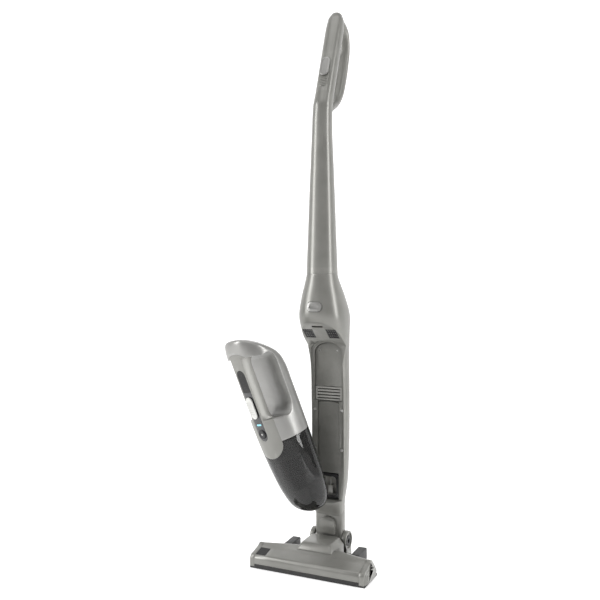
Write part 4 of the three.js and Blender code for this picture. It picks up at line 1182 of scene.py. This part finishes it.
# %% The finger room, and the cuts beside the handle
def finger_room(grow):
    low, high, front, back = GRIP_LOW - grow, GRIP_HIGH + grow, UNIT_FRONT + 23 - grow, UNIT_MIDDLE + 9 + grow
    shape = (
        quad((front, low + 22), (front, low), (front + 14, low))
        + quad((front + 14, low), (back, low + 2), (back, low + 34))
        + quad((back, high - 26), (back, high), (front + 16, high))
        + quad((front + 16, high), (front, high), (front, high - 16))
    )
    room = prism("x", tidy(shape), -100, 100)
    band = [(-120, low + 10), (front + 7, low + 2), (front + 7, high - 2), (-120, high + 16)]
    for side in (-1, 1):
        ends = sorted((side * (17 - grow), side * 100))
        weld(room, prism("x", band, *ends))
    return room


def front_oval(grow):
    half = 38 + grow
    shape = (
        arc(0, GRIP_HIGH - 16, half, 30 + grow, 0, 180, 40)
        + arc(0, TONGUE_BOTTOM + 30, half, 30 + grow, 180, 360, 40)
    )
    return prism("y", tidy(shape), -150, UNIT_MIDDLE - 12 + grow)


def mouth_room(grow):
    shape = pill(28 + 2 * grow, 36 + 2 * grow, 7, 0, 150, 6)
    return prism("y", shape, -4 - grow, 60)


def panel_room(grow):
    shape = pill(25 + 2 * grow, 151 + 2 * grow, 12.45 + grow, 0, 367.5, 16)
    return prism("y", shape, -150, UNIT_MIDDLE - 18)


def vent_room(grow):
    return prism("y", pill(34 + 2 * grow, 44 + 2 * grow, 6 + grow, 0, 345, 6), 8, 60)


def skin(deep, proud=0.0):
    return carve(unit_body(-proud), unit_body(deep))


def slab(low, high):
    return block(-150, 150, -200, 150, low, high)


def tip(piece):
    spot = Vector(TIP_SPOT) * MM
    turned(piece, TIP_ANGLE, TIP_SPOT[1], TIP_SPOT[2])
    lean_out = Matrix.Rotation(math.radians(-SIDE_LEAN), 4, "Y")
    turn_out = lean_out @ Matrix.Rotation(math.radians(-TURN_ANGLE), 4, "Z")
    piece.data.transform(Matrix.Translation(spot) @ turn_out @ Matrix.Translation(-spot))
    return piece


# %% Bin, side shell and grip housing
shell = unit_body(0)
carve(shell, carve(unit_body(WALL), finger_room(WALL)), finger_room(0))
housing = keep_inside(copy_of(shell, "grip_front"), front_oval(0))
carve(
    housing, keep_inside(panel_room(GAP), skin(1.9, 5)),
    drum("y", 9.8, UNIT_FRONT - 30, UNIT_FRONT + 9.3, 0, 307, 48),
)
housing = largest_only(housing)
housing.name = "grip_front"
carve(shell, slab(-50, BIN_TOP), front_oval(GAP), keep_inside(vent_room(GAP), skin(1.9, 5)))
side_shell = largest_only(shell)
side_shell.name = "side_shell"
bin_wall = carve(unit_body(0), unit_body(WALL), slab(BIN_TOP - GAP, 900), front_oval(GAP), mouth_room(GAP))
bin_wall = largest_only(bin_wall)
bin_wall.name = "clear_bin"
for piece in (housing, side_shell):
    bevel_sharp(piece, 0.9, 3, 45)
bevel_sharp(bin_wall, 0.5, 2, 55)
print("unit shells:", len(housing.data.polygons), len(side_shell.data.polygons), len(bin_wall.data.polygons))

# %% Panel, soft strip, lamp, exhaust, slider and button
panel = keep_inside(panel_room(0), skin(1.6))
strip = carve(copy_of(panel, "soft_strip"), slab(0, 396.3))
carve(panel, slab(396, 900), drum("y", 9.8, -150, 0, 0, 307, 48), block(-7.3, 7.3, -150, 0, 324.9, 329.1))
panel.name = "control_strip"
for k in range(7):
    z = 404 + k * 5
    carve(strip, carve(block(-8 + k * 0.3, 8 - k * 0.3, -150, 0, z, z + 1.2), unit_body(0.5)))
lamp = keep_inside(prism("y", pill(14, 3.6, 1.75, 0, 327, 6), -150, -60), skin(1.6))
lamp.name = "lamp"
exhaust = keep_inside(vent_room(0), skin(1.6))
exhaust.name = "exhaust"
for k in range(5):
    carve(exhaust, prism("y", pill(26, 3.4, 1.65, 0, 329.8 + k * 7.2, 5), 0, 60))
slider = prism("y", pill(19, 46, 9.45, 0, 364, 14), UNIT_FRONT - 3.6, UNIT_FRONT - 0.5, 1.2, 4, "speed_pad")
for k in range(7):
    z = 352 + k * 4
    carve(slider, prism("y", pill(13, 1.5, 0.7, 0, z, 4), UNIT_FRONT - 5, UNIT_FRONT - 2.8))
button = drum("y", 9.5, UNIT_FRONT - 1.6, UNIT_FRONT + 9, 0, 307, 64, 0.6, "bin_key")
bpy.ops.object.select_all(action="DESELECT")
bpy.ops.mesh.primitive_uv_sphere_add(
    segments=64, ring_count=32, radius=22 * MM, location=Vector((0, UNIT_FRONT - 22.6, 307)) * MM
)
bowl = named("bowl")
wake(bowl)
bpy.ops.object.transform_apply(location=True, rotation=True, scale=True)
carve(button, bowl)
mark = prism(
    "y", [(-2.8, 308.9), (2.8, 308.9), (0, 304.3)],
    UNIT_FRONT - 0.75, UNIT_FRONT - 0.2, 0.1, 2, "key_mark",
)

# %% Mouth, filters
mouth = keep_inside(mouth_room(0), unit_body(0))
hollow = keep_inside(mouth_room(-3), block(-100, 100, 2, 100, 0, 700))
carve(mouth, hollow, block(-9, 9, -20, 20, 141, 159))
mouth.name = "intake_mouth"


def turned_on_lathe(points, y, name, sides=64):
    """Spins an outline of (radius, height) pairs, from axis to axis, about an upright line."""
    rows = len(points)

    def place(row, column):
        angle = 2 * math.pi * column / sides
        r, z = points[row]
        return max(r, 0.01) * math.cos(angle), y + max(r, 0.01) * math.sin(angle), z

    return rolled(name, rows, sides, place)


FILTER_Y = UNIT_MIDDLE - 4
cone = turned_on_lathe(
    [
        (0, 172), (12, 172), (13, 173), (16, 188), (16, 196), (26.4, 199),
        (27, 199.7), (27, 203.4), (26.4, 204), (21, 207), (25, 240), (0, 240),
    ],
    FILTER_Y, "cyclone_cone",
)
cone_room = [(0, 190), (12, 190), (13, 202), (18, 210), (22, 241), (0, 241)]
carve(cone, turned_on_lathe(cone_room, FILTER_Y, "inside"))
for k in range(24):
    slot = block(-0.5, 0.5, -40, -19.5, 210, 236)
    slot.data.transform(Matrix.Rotation(2 * math.pi * k / 24, 4, "Z"))
    carve(cone, shifted(slot, 0, FILTER_Y, 0))


def pleated(r, low, high, folds, name):
    def place(row, column):
        angle = 2 * math.pi * column / (folds * 4)
        reach = r - (1.6 if column % 4 >= 2 else 0)
        return reach * math.cos(angle), FILTER_Y + reach * math.sin(angle), low + (high - low) * row / 3

    return rolled(name, 4, folds * 4, place)


fleece = pleated(17, 214, 241, 30, "fleece")
weld(fleece, drum("z", 31, 240.3, 246, 0, FILTER_Y, 64, 0.8))
fleece.name = "fleece"
unit_parts = [
    (housing, "grip_housing", "grey_plastic", "motor_unit"),
    (side_shell, "unit_shell", "silver_plastic", "motor_unit"),
    (panel, "control_panel", "gloss_black", "motor_unit"), (strip, "grip_strip", "rubber", "motor_unit"),
    (lamp, "led_bar", "lit_lens", "motor_unit"), (exhaust, "exhaust_grille", "black_plastic", "motor_unit"),
    (slider, "hand_slider", "white_plastic", "speed_slider"),
    (button, "bin_button", "black_plastic", "bin_release"),
    (bin_wall, "dust_container", "smoky_clear", "dust_bin"),
    (mouth, "suction_mouth", "black_plastic", "dust_bin"),
    (cone, "filter_cone", "black_plastic", "dust_bin"), (fleece, "fine_filter", "filter_fleece", "dust_bin"),
]
for piece, node, slot, body in unit_parts:
    smooth(tip(piece))
    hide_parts(node)
    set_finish(piece, slot)
    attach(piece, body)
tip(mark)
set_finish(mark, "white_plastic")
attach(mark, "bin_release")
print("hand unit:", [(piece.name, len(piece.data.polygons)) for piece, _, _, _ in unit_parts])

# %% [markdown]
# ## Finishes
#
# Almost all of this object is moulded plastic. What makes it look real is small: a fine spark
# erosion grain, patches where the gloss changes, and edges that are painted a little lighter as a
# painted highlight. Each of these is a node group, built once and placed in every finish
# with its own values. The shader itself stays in the finish.

# %% A node group with named inputs and outputs
def start_group(name, inputs, outputs):
    group = bpy.data.node_groups.new(name, "ShaderNodeTree")
    for label, value in inputs:
        socket = group.interface.new_socket(name=label, in_out="INPUT", socket_type="NodeSocketFloat")
        socket.default_value = value
    for label, kind in outputs:
        group.interface.new_socket(name=label, in_out="OUTPUT", socket_type=kind)
    into, out = group.nodes.new("NodeGroupInput"), group.nodes.new("NodeGroupOutput")
    return group, into, out


def noise(tree, size, detail, where):
    node = tree.nodes.new("ShaderNodeTexNoise")
    node.inputs["Scale"].default_value = size
    node.inputs["Detail"].default_value = detail
    tree.links.new(where, node.inputs["Vector"])
    return node


def ramp(tree, value, low, high, to_low=0.0, to_high=1.0):
    node = tree.nodes.new("ShaderNodeMapRange")
    for label, number in zip(("From Min", "From Max", "To Min", "To Max"), (low, high, to_low, to_high)):
        node.inputs[label].default_value = number
    tree.links.new(value, node.inputs["Value"])
    return node.outputs["Result"]


def calc(tree, operation, a, b):
    node = tree.nodes.new("ShaderNodeMath")
    node.operation = operation
    for socket, value in zip(node.inputs, (a, b)):
        if isinstance(value, (int, float)):
            socket.default_value = value
        else:
            tree.links.new(value, socket)
    return node.outputs[0]


# %% [markdown]
# ### Moulded grain
#
# The steel mould is eroded by sparks, and the plastic copies its tiny pits. Two sizes of noise
# make the pits, and a Voronoi cell gives each its hard edge. The same group puts out a height
# for the bump and a mask for the gloss.

# %% Group: moulded grain
grain_group, grain_in, grain_out = start_group(
    "moulded grain", [("Pits per metre", 1400.0)],
    [("Height", "NodeSocketFloat"), ("Gloss", "NodeSocketFloat")],
)
spot = grain_group.nodes.new("ShaderNodeTexCoord").outputs["Object"]
pits = grain_group.nodes.new("ShaderNodeTexVoronoi")
grain_group.links.new(spot, pits.inputs["Vector"])
grain_group.links.new(grain_in.outputs["Pits per metre"], pits.inputs["Scale"])
fine = noise(grain_group, 3000, 3, spot)
wide = noise(grain_group, 28, 4, spot)
pitted = calc(grain_group, "MULTIPLY", pits.outputs["Distance"], 0.7)
height = calc(grain_group, "ADD", pitted, calc(grain_group, "MULTIPLY", fine.outputs["Fac"], 0.5))
grain_group.links.new(height, grain_out.inputs["Height"])
grain_group.links.new(ramp(grain_group, wide.outputs["Fac"], 0.3, 0.7), grain_out.inputs["Gloss"])

# %% [markdown]
# ### Painted edge highlight
#
# Edges that stick out are painted lighter: a painted highlight where the gloss catches the light.
# Pointiness is high there, and a noise breaks the line up so that it doesn't look drawn.

# %% Group: painted edge highlight
edge_highlight_group, edge_highlight_in, edge_highlight_out = start_group("rubbed edges", [("Reach", 0.06)], [("Mask", "NodeSocketFloat")])
spot = edge_highlight_group.nodes.new("ShaderNodeTexCoord").outputs["Object"]
shape = edge_highlight_group.nodes.new("ShaderNodeNewGeometry")
broken = ramp(edge_highlight_group, noise(edge_highlight_group, 160, 5, spot).outputs["Fac"], 0.35, 0.65, 0.35, 1.0)
lift = edge_highlight_group.nodes.new("ShaderNodeMapRange")
lift.inputs["From Min"].default_value = 0.51
edge_highlight_group.links.new(shape.outputs["Pointiness"], lift.inputs["Value"])
edge_highlight_group.links.new(calc(edge_highlight_group, "ADD", edge_highlight_in.outputs["Reach"], 0.51), lift.inputs["From Max"])
edge_highlight_group.links.new(calc(edge_highlight_group, "MULTIPLY", lift.outputs["Result"], broken), edge_highlight_out.inputs["Mask"])

# %% [markdown]
# ### Dust
#
# Dust settles on faces that look up and near the floor. The mask is
# stronger where the normal points up and within a few centimetres of the floor.

# %% Group: dust
dust_group, dust_in, dust_out = start_group("settled dust", [("Amount", 0.5)], [("Mask", "NodeSocketFloat")])
spot = dust_group.nodes.new("ShaderNodeTexCoord").outputs["Object"]
split = dust_group.nodes.new("ShaderNodeSeparateXYZ")
dust_group.links.new(spot, split.inputs[0])
facing = dust_group.nodes.new("ShaderNodeSeparateXYZ")
dust_group.links.new(dust_group.nodes.new("ShaderNodeNewGeometry").outputs["Normal"], facing.inputs[0])
up = ramp(dust_group, facing.outputs["Z"], 0.2, 1.0)
near_floor = ramp(dust_group, split.outputs["Z"], 0.0, 0.06, 1.0, 0.15)
specks = ramp(dust_group, noise(dust_group, 420, 6, spot).outputs["Fac"], 0.42, 0.78)
amount = calc(dust_group, "MULTIPLY", calc(dust_group, "MULTIPLY", up, near_floor), specks)
dust_group.links.new(calc(dust_group, "MULTIPLY", amount, dust_in.outputs["Amount"]), dust_out.inputs["Mask"])


# %% [markdown]
# ### One recipe for plastics
#
# A plastic is made from two shades that drift into each other, a range of roughness, a depth of
# grain, a painted edge highlight and settled dust. What differs between the plastics is only the numbers.

# %% The recipe
def mix_colours(tree, mask, a, b):
    node = tree.nodes.new("ShaderNodeMix")
    node.data_type = "RGBA"
    colours = [socket for socket in node.inputs if socket.type == "RGBA"]
    for socket, value in zip(colours, (a, b)):
        if isinstance(value, tuple):
            socket.default_value = (*value, 1)
        else:
            tree.links.new(value, socket)
    tree.links.new(mask, node.inputs[0])
    return [socket for socket in node.outputs if socket.type == "RGBA"][0]


def placed(tree, group, **values):
    node = tree.nodes.new("ShaderNodeGroup")
    node.node_tree = group
    for label, value in values.items():
        node.inputs[label.replace("_", " ")].default_value = value
    return node


def blank(name):
    finish = bpy.data.materials.new(name)
    finish.use_nodes = True
    tree = finish.node_tree
    return finish, tree, tree.nodes["Principled BSDF"]


def plastic(
    name, dark, light, rough=(0.32, 0.42), grain=0.08, pits=1400.0,
    highlight_strength=0.18, dust=0.1, metallic=0.0, coat=0.0,
):
    finish, tree, shader = blank(name)
    grains = placed(tree, grain_group, Pits_per_metre=pits)
    edge_highlight_node = placed(tree, edge_highlight_group)
    dusty = placed(tree, dust_group, Amount=dust)
    shade = mix_colours(tree, grains.outputs["Gloss"], dark, light)
    # Edges that stick out are mixed towards this paler shade: a painted highlight.
    pale = tuple(min(c * 1.5 + 0.05, 0.9) for c in light)
    highlighted = mix_colours(tree, calc(tree, "MULTIPLY", edge_highlight_node.outputs["Mask"], highlight_strength), shade, pale)
    dulled = mix_colours(tree, dusty.outputs["Mask"], highlighted, (0.42, 0.4, 0.37))
    tree.links.new(dulled, shader.inputs["Base Color"])
    gloss = ramp(tree, grains.outputs["Gloss"], 0.0, 1.0, *rough)
    duller = calc(tree, "ADD", gloss, calc(tree, "MULTIPLY", dusty.outputs["Mask"], 0.3))
    tree.links.new(duller, shader.inputs["Roughness"])
    bump = tree.nodes.new("ShaderNodeBump")
    bump.inputs["Strength"].default_value = grain
    bump.inputs["Distance"].default_value = 0.0002
    tree.links.new(grains.outputs["Height"], bump.inputs["Height"])
    tree.links.new(bump.outputs["Normal"], shader.inputs["Normal"])
    shader.inputs["Metallic"].default_value = metallic
    shader.inputs["Coat Weight"].default_value = coat
    shader.inputs["Coat Roughness"].default_value = 0.18
    return finish


FINISHES = {
    "grey_plastic": plastic(
        "titanium grey lacquer", (0.192, 0.19, 0.175), (0.222, 0.22, 0.204),
        rough=(0.29, 0.37), metallic=0.3, coat=0.1,
    ),
    "light_plastic": plastic("light grey satin", (0.36, 0.355, 0.335), (0.42, 0.415, 0.39), metallic=0.1),
    "silver_plastic": plastic(
        "silver lacquer", (0.26, 0.257, 0.247), (0.29, 0.287, 0.277),
        rough=(0.3, 0.38), metallic=0.4, coat=0.2,
    ),
    "white_plastic": plastic("white satin", (0.55, 0.55, 0.53), (0.61, 0.61, 0.585), highlight_strength=0.1, dust=0.2),
    "black_plastic": plastic(
        "black grained plastic", (0.011, 0.011, 0.0115), (0.016, 0.016, 0.0165),
        rough=(0.42, 0.55), grain=0.2, highlight_strength=0.3,
    ),
    "gloss_black": plastic(
        "black gloss panel", (0.006, 0.006, 0.0065), (0.009, 0.009, 0.0095),
        rough=(0.14, 0.24), grain=0.02, highlight_strength=0.15, coat=0.5,
    ),
}
print("plastics:", list(FINISHES))

# %% [markdown]
# ### Rubber
#
# The wheels, the foot strip and the grip's face are soft to touch: dull, deep black, with a coarser
# grain and more dust.

# %% Rubber
FINISHES["rubber"] = plastic(
    "soft black rubber", (0.012, 0.012, 0.012), (0.022, 0.0215, 0.021),
    rough=(0.62, 0.78), grain=0.45, pits=900.0, highlight_strength=0.25, dust=0.6,
)


# %% [markdown]
# ### Steel
#
# Shafts and motor cans are plated. Fine turning marks run round them: noise stretched along one
# axis, used for the roughness and a shallow bump.

# %% Steel
def brushed_steel():
    finish, tree, shader = blank("plated steel")
    spot = tree.nodes.new("ShaderNodeTexCoord").outputs["Object"]
    stretch = tree.nodes.new("ShaderNodeMapping")
    stretch.inputs["Scale"].default_value = (6, 1, 1)
    tree.links.new(spot, stretch.inputs["Vector"])
    marks = noise(tree, 700, 3, stretch.outputs["Vector"]).outputs["Fac"]
    cloud = noise(tree, 60, 3, spot).outputs["Fac"]
    tree.links.new(mix_colours(tree, cloud, (0.5, 0.5, 0.49), (0.62, 0.61, 0.6)), shader.inputs["Base Color"])
    tree.links.new(ramp(tree, marks, 0.3, 0.7, 0.2, 0.42), shader.inputs["Roughness"])
    bump = tree.nodes.new("ShaderNodeBump")
    bump.inputs["Strength"].default_value = 0.15
    bump.inputs["Distance"].default_value = 0.0001
    tree.links.new(marks, bump.inputs["Height"])
    tree.links.new(bump.outputs["Normal"], shader.inputs["Normal"])
    shader.inputs["Metallic"].default_value = 1.0
    return finish


FINISHES["steel"] = brushed_steel()


# %% [markdown]
# ### Smoky clear plastic
#
# The bin is dark clear plastic. Light goes through it, so the filter shows. Hair-fine scratches
# and a film of dust inside change only its colour and its roughness, and the amount of light that
# goes through stays plain.

# %% Smoky clear
def smoky_clear():
    finish, tree, shader = blank("smoky clear plastic")
    spot = tree.nodes.new("ShaderNodeTexCoord").outputs["Object"]
    film = noise(tree, 22, 5, spot).outputs["Fac"]
    smoke = mix_colours(tree, film, (0.075, 0.074, 0.072), (0.11, 0.109, 0.107))
    tree.links.new(smoke, shader.inputs["Base Color"])
    stretch = tree.nodes.new("ShaderNodeMapping")
    stretch.inputs["Scale"].default_value = (8, 8, 1)
    tree.links.new(spot, stretch.inputs["Vector"])
    scratches = noise(tree, 300, 2, stretch.outputs["Vector"]).outputs["Fac"]
    tree.links.new(ramp(tree, scratches, 0.45, 0.75, 0.03, 0.06), shader.inputs["Roughness"])
    shader.inputs["Transmission Weight"].default_value = 0.92
    shader.inputs["IOR"].default_value = 1.4
    shader.inputs["Specular IOR Level"].default_value = 0.3
    return finish


FINISHES["smoky_clear"] = smoky_clear()


# %% [markdown]
# ### Fleece, cell wrap and the lit lens
#
# The filter's fleece is pale with fibres in it, the battery's wrap is shrunk film with soft
# wrinkles, and the lens glows a little from inside, brighter along its middle.

# %% Fleece
def fleece_finish():
    finish, tree, shader = blank("filter fleece")
    spot = tree.nodes.new("ShaderNodeTexCoord").outputs["Object"]
    fibres = noise(tree, 1500, 6, spot).outputs["Fac"]
    cloud = noise(tree, 90, 3, spot).outputs["Fac"]
    wool = mix_colours(tree, cloud, (0.62, 0.61, 0.56), (0.78, 0.77, 0.73))
    tree.links.new(wool, shader.inputs["Base Color"])
    tree.links.new(ramp(tree, fibres, 0.3, 0.7, 0.8, 0.98), shader.inputs["Roughness"])
    bump = tree.nodes.new("ShaderNodeBump")
    bump.inputs["Strength"].default_value = 0.5
    bump.inputs["Distance"].default_value = 0.0004
    tree.links.new(fibres, bump.inputs["Height"])
    tree.links.new(bump.outputs["Normal"], shader.inputs["Normal"])
    shader.inputs["Sheen Weight"].default_value = 0.2
    return finish


FINISHES["filter_fleece"] = fleece_finish()
FINISHES["cell_wrap"] = plastic(
    "cell wrap", (0.05, 0.1, 0.2), (0.08, 0.15, 0.27),
    rough=(0.25, 0.45), grain=0.3, pits=300.0, highlight_strength=0.1, dust=0.0,
)


# %% Lit lens
def lit_lens():
    finish, tree, shader = blank("lit lens")
    spot = tree.nodes.new("ShaderNodeTexCoord").outputs["Object"]
    across = tree.nodes.new("ShaderNodeSeparateXYZ")
    tree.links.new(spot, across.inputs[0])
    away = calc(tree, "ABSOLUTE", across.outputs["X"], 0)
    shade = mix_colours(tree, ramp(tree, away, 0.0, 0.007), (0.42, 0.78, 0.86), (0.22, 0.5, 0.6))
    tree.links.new(shade, shader.inputs["Base Color"])
    tree.links.new(shade, shader.inputs["Emission Color"])
    ripple = noise(tree, 500, 3, spot).outputs["Fac"]
    tree.links.new(ramp(tree, ripple, 0.3, 0.7, 0.2, 0.35), shader.inputs["Roughness"])
    shader.inputs["Emission Strength"].default_value = 0.5
    return finish


FINISHES["lit_lens"] = lit_lens()

# %% [markdown]
# ## Give every piece its finish
#
# Each piece made here gets the finish of the slot set on it, and each CAD node the finish of its slot in
# model.json.

# %% Hand out the finishes
slot_of = {}
for row in frame["record"]["subparts"]:
    for node in row.get("nodes", [row.get("node")]):
        slot_of[node] = row.get("material_slot") or row.get("slot")


def give(piece, finish):
    piece.data.materials.clear()
    piece.data.materials.append(finish)


for piece in list(bpy.data.objects):
    if piece.type != "MESH":
        continue
    slot = piece.get("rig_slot") or slot_of.get(piece.name)
    if slot:
        give(piece, FINISHES[slot])
meshes = [piece for piece in bpy.data.objects if piece.type == "MESH"]
print("finished:", sum(1 for piece in meshes if piece.data.materials), "of", len(meshes))

# %% [markdown]
# ## Floor, light and camera
#
# The vacuum stands on a pale sweep with plain soft light: a wide box of light on its left, a
# taller one on its right, and one above. The camera is level and looks from 25 degrees to the
# right of straight ahead. Its sensor is shifted a little, so that uprights stay upright.

# %% Sweep
turn = math.radians(25)


def sweep_point(across, deep, up):
    x = across * math.cos(turn) - deep * math.sin(turn)
    y = across * math.sin(turn) + deep * math.cos(turn)
    return (x, y, up)


BEND_START, BEND_RADIUS, SWEEP_WIDTH, PAPER_GLOW = 1.2, 0.9, 16, 0.45
bend = [
    (BEND_START + BEND_RADIUS * math.sin(a), BEND_RADIUS - BEND_RADIUS * math.cos(a))
    for a in (0.2, 0.4, 0.6, 0.8, 1.0, 1.2, 1.4, 1.57)
]
rows = [(-6, 0), (BEND_START, 0)] + bend + [(2.1, 6)]

bpy.ops.object.select_all(action="DESELECT")
bpy.ops.mesh.primitive_grid_add(x_subdivisions=1, y_subdivisions=len(rows) - 1, size=1)
sweep = named("sweep")
for vertex in sweep.data.vertices:
    row = round((vertex.co.y + 0.5) * (len(rows) - 1))
    deep, up = rows[row]
    vertex.co = Vector(sweep_point(vertex.co.x * SWEEP_WIDTH, deep, up))
smooth(sweep, 60)
paper, tree, shader = blank("pale paper")
spot = tree.nodes.new("ShaderNodeTexCoord").outputs["Object"]
soft = noise(tree, 3, 2, spot).outputs["Fac"]
tree.links.new(mix_colours(tree, soft, (0.86, 0.86, 0.86), (0.9, 0.9, 0.9)), shader.inputs["Base Color"])
shader.inputs["Roughness"].default_value = 0.9
shader.inputs["Specular IOR Level"].default_value = 0.1
shader.inputs["Emission Color"].default_value = (1, 1, 1, 1)
shader.inputs["Emission Strength"].default_value = PAPER_GLOW
give(sweep, paper)


# %% Soft light
def softbox(name, place, aim, width, height, watts):
    bpy.ops.object.light_add(type="AREA", location=place)
    lamp = bpy.context.object
    lamp.name = name
    lamp.data.shape = "RECTANGLE"
    lamp.data.size, lamp.data.size_y = width, height
    lamp.data.energy = watts
    lamp.rotation_euler = (Vector(aim) - Vector(place)).to_track_quat("-Z", "Y").to_euler()


softbox("left_box", (-1.5, -1.3, 1.2), (0, 0, 0.55), 0.5, 1.9, 34)
softbox("right_box", (1.75, 0.1, 1.1), (0, 0, 0.5), 0.45, 1.9, 25)
softbox("top_box", (0.1, -0.4, 2.4), (0, 0, 0.4), 1.6, 1.2, 10)
world = bpy.data.worlds.new("studio")
bpy.context.scene.world = world
world.use_nodes = True
world.node_tree.nodes["Background"].inputs["Color"].default_value = (1, 1, 1, 1)
world.node_tree.nodes["Background"].inputs["Strength"].default_value = 0.3
bpy.context.scene.view_settings.view_transform = "Standard"

# %% Camera
CAMERA_AWAY, CAMERA_ASIDE, CAMERA_UP, HORIZON = 1506, 49.2, 572, 286.5
bpy.ops.object.camera_add()
camera = bpy.context.object
camera.name = "camera"
camera.location = Vector((
    CAMERA_AWAY * math.sin(turn) - CAMERA_ASIDE * math.cos(turn),
    -CAMERA_AWAY * math.cos(turn) - CAMERA_ASIDE * math.sin(turn),
    CAMERA_UP,
)) * MM
camera.rotation_euler = (math.radians(90), 0, turn)
camera.data.sensor_width = 36
camera.data.lens = 43.44
camera.data.shift_y = (HORIZON - 300) / 600
bpy.context.scene.camera = camera
print("camera:", [round(v, 3) for v in camera.location])

# %% [markdown]

# %% Import json
import json
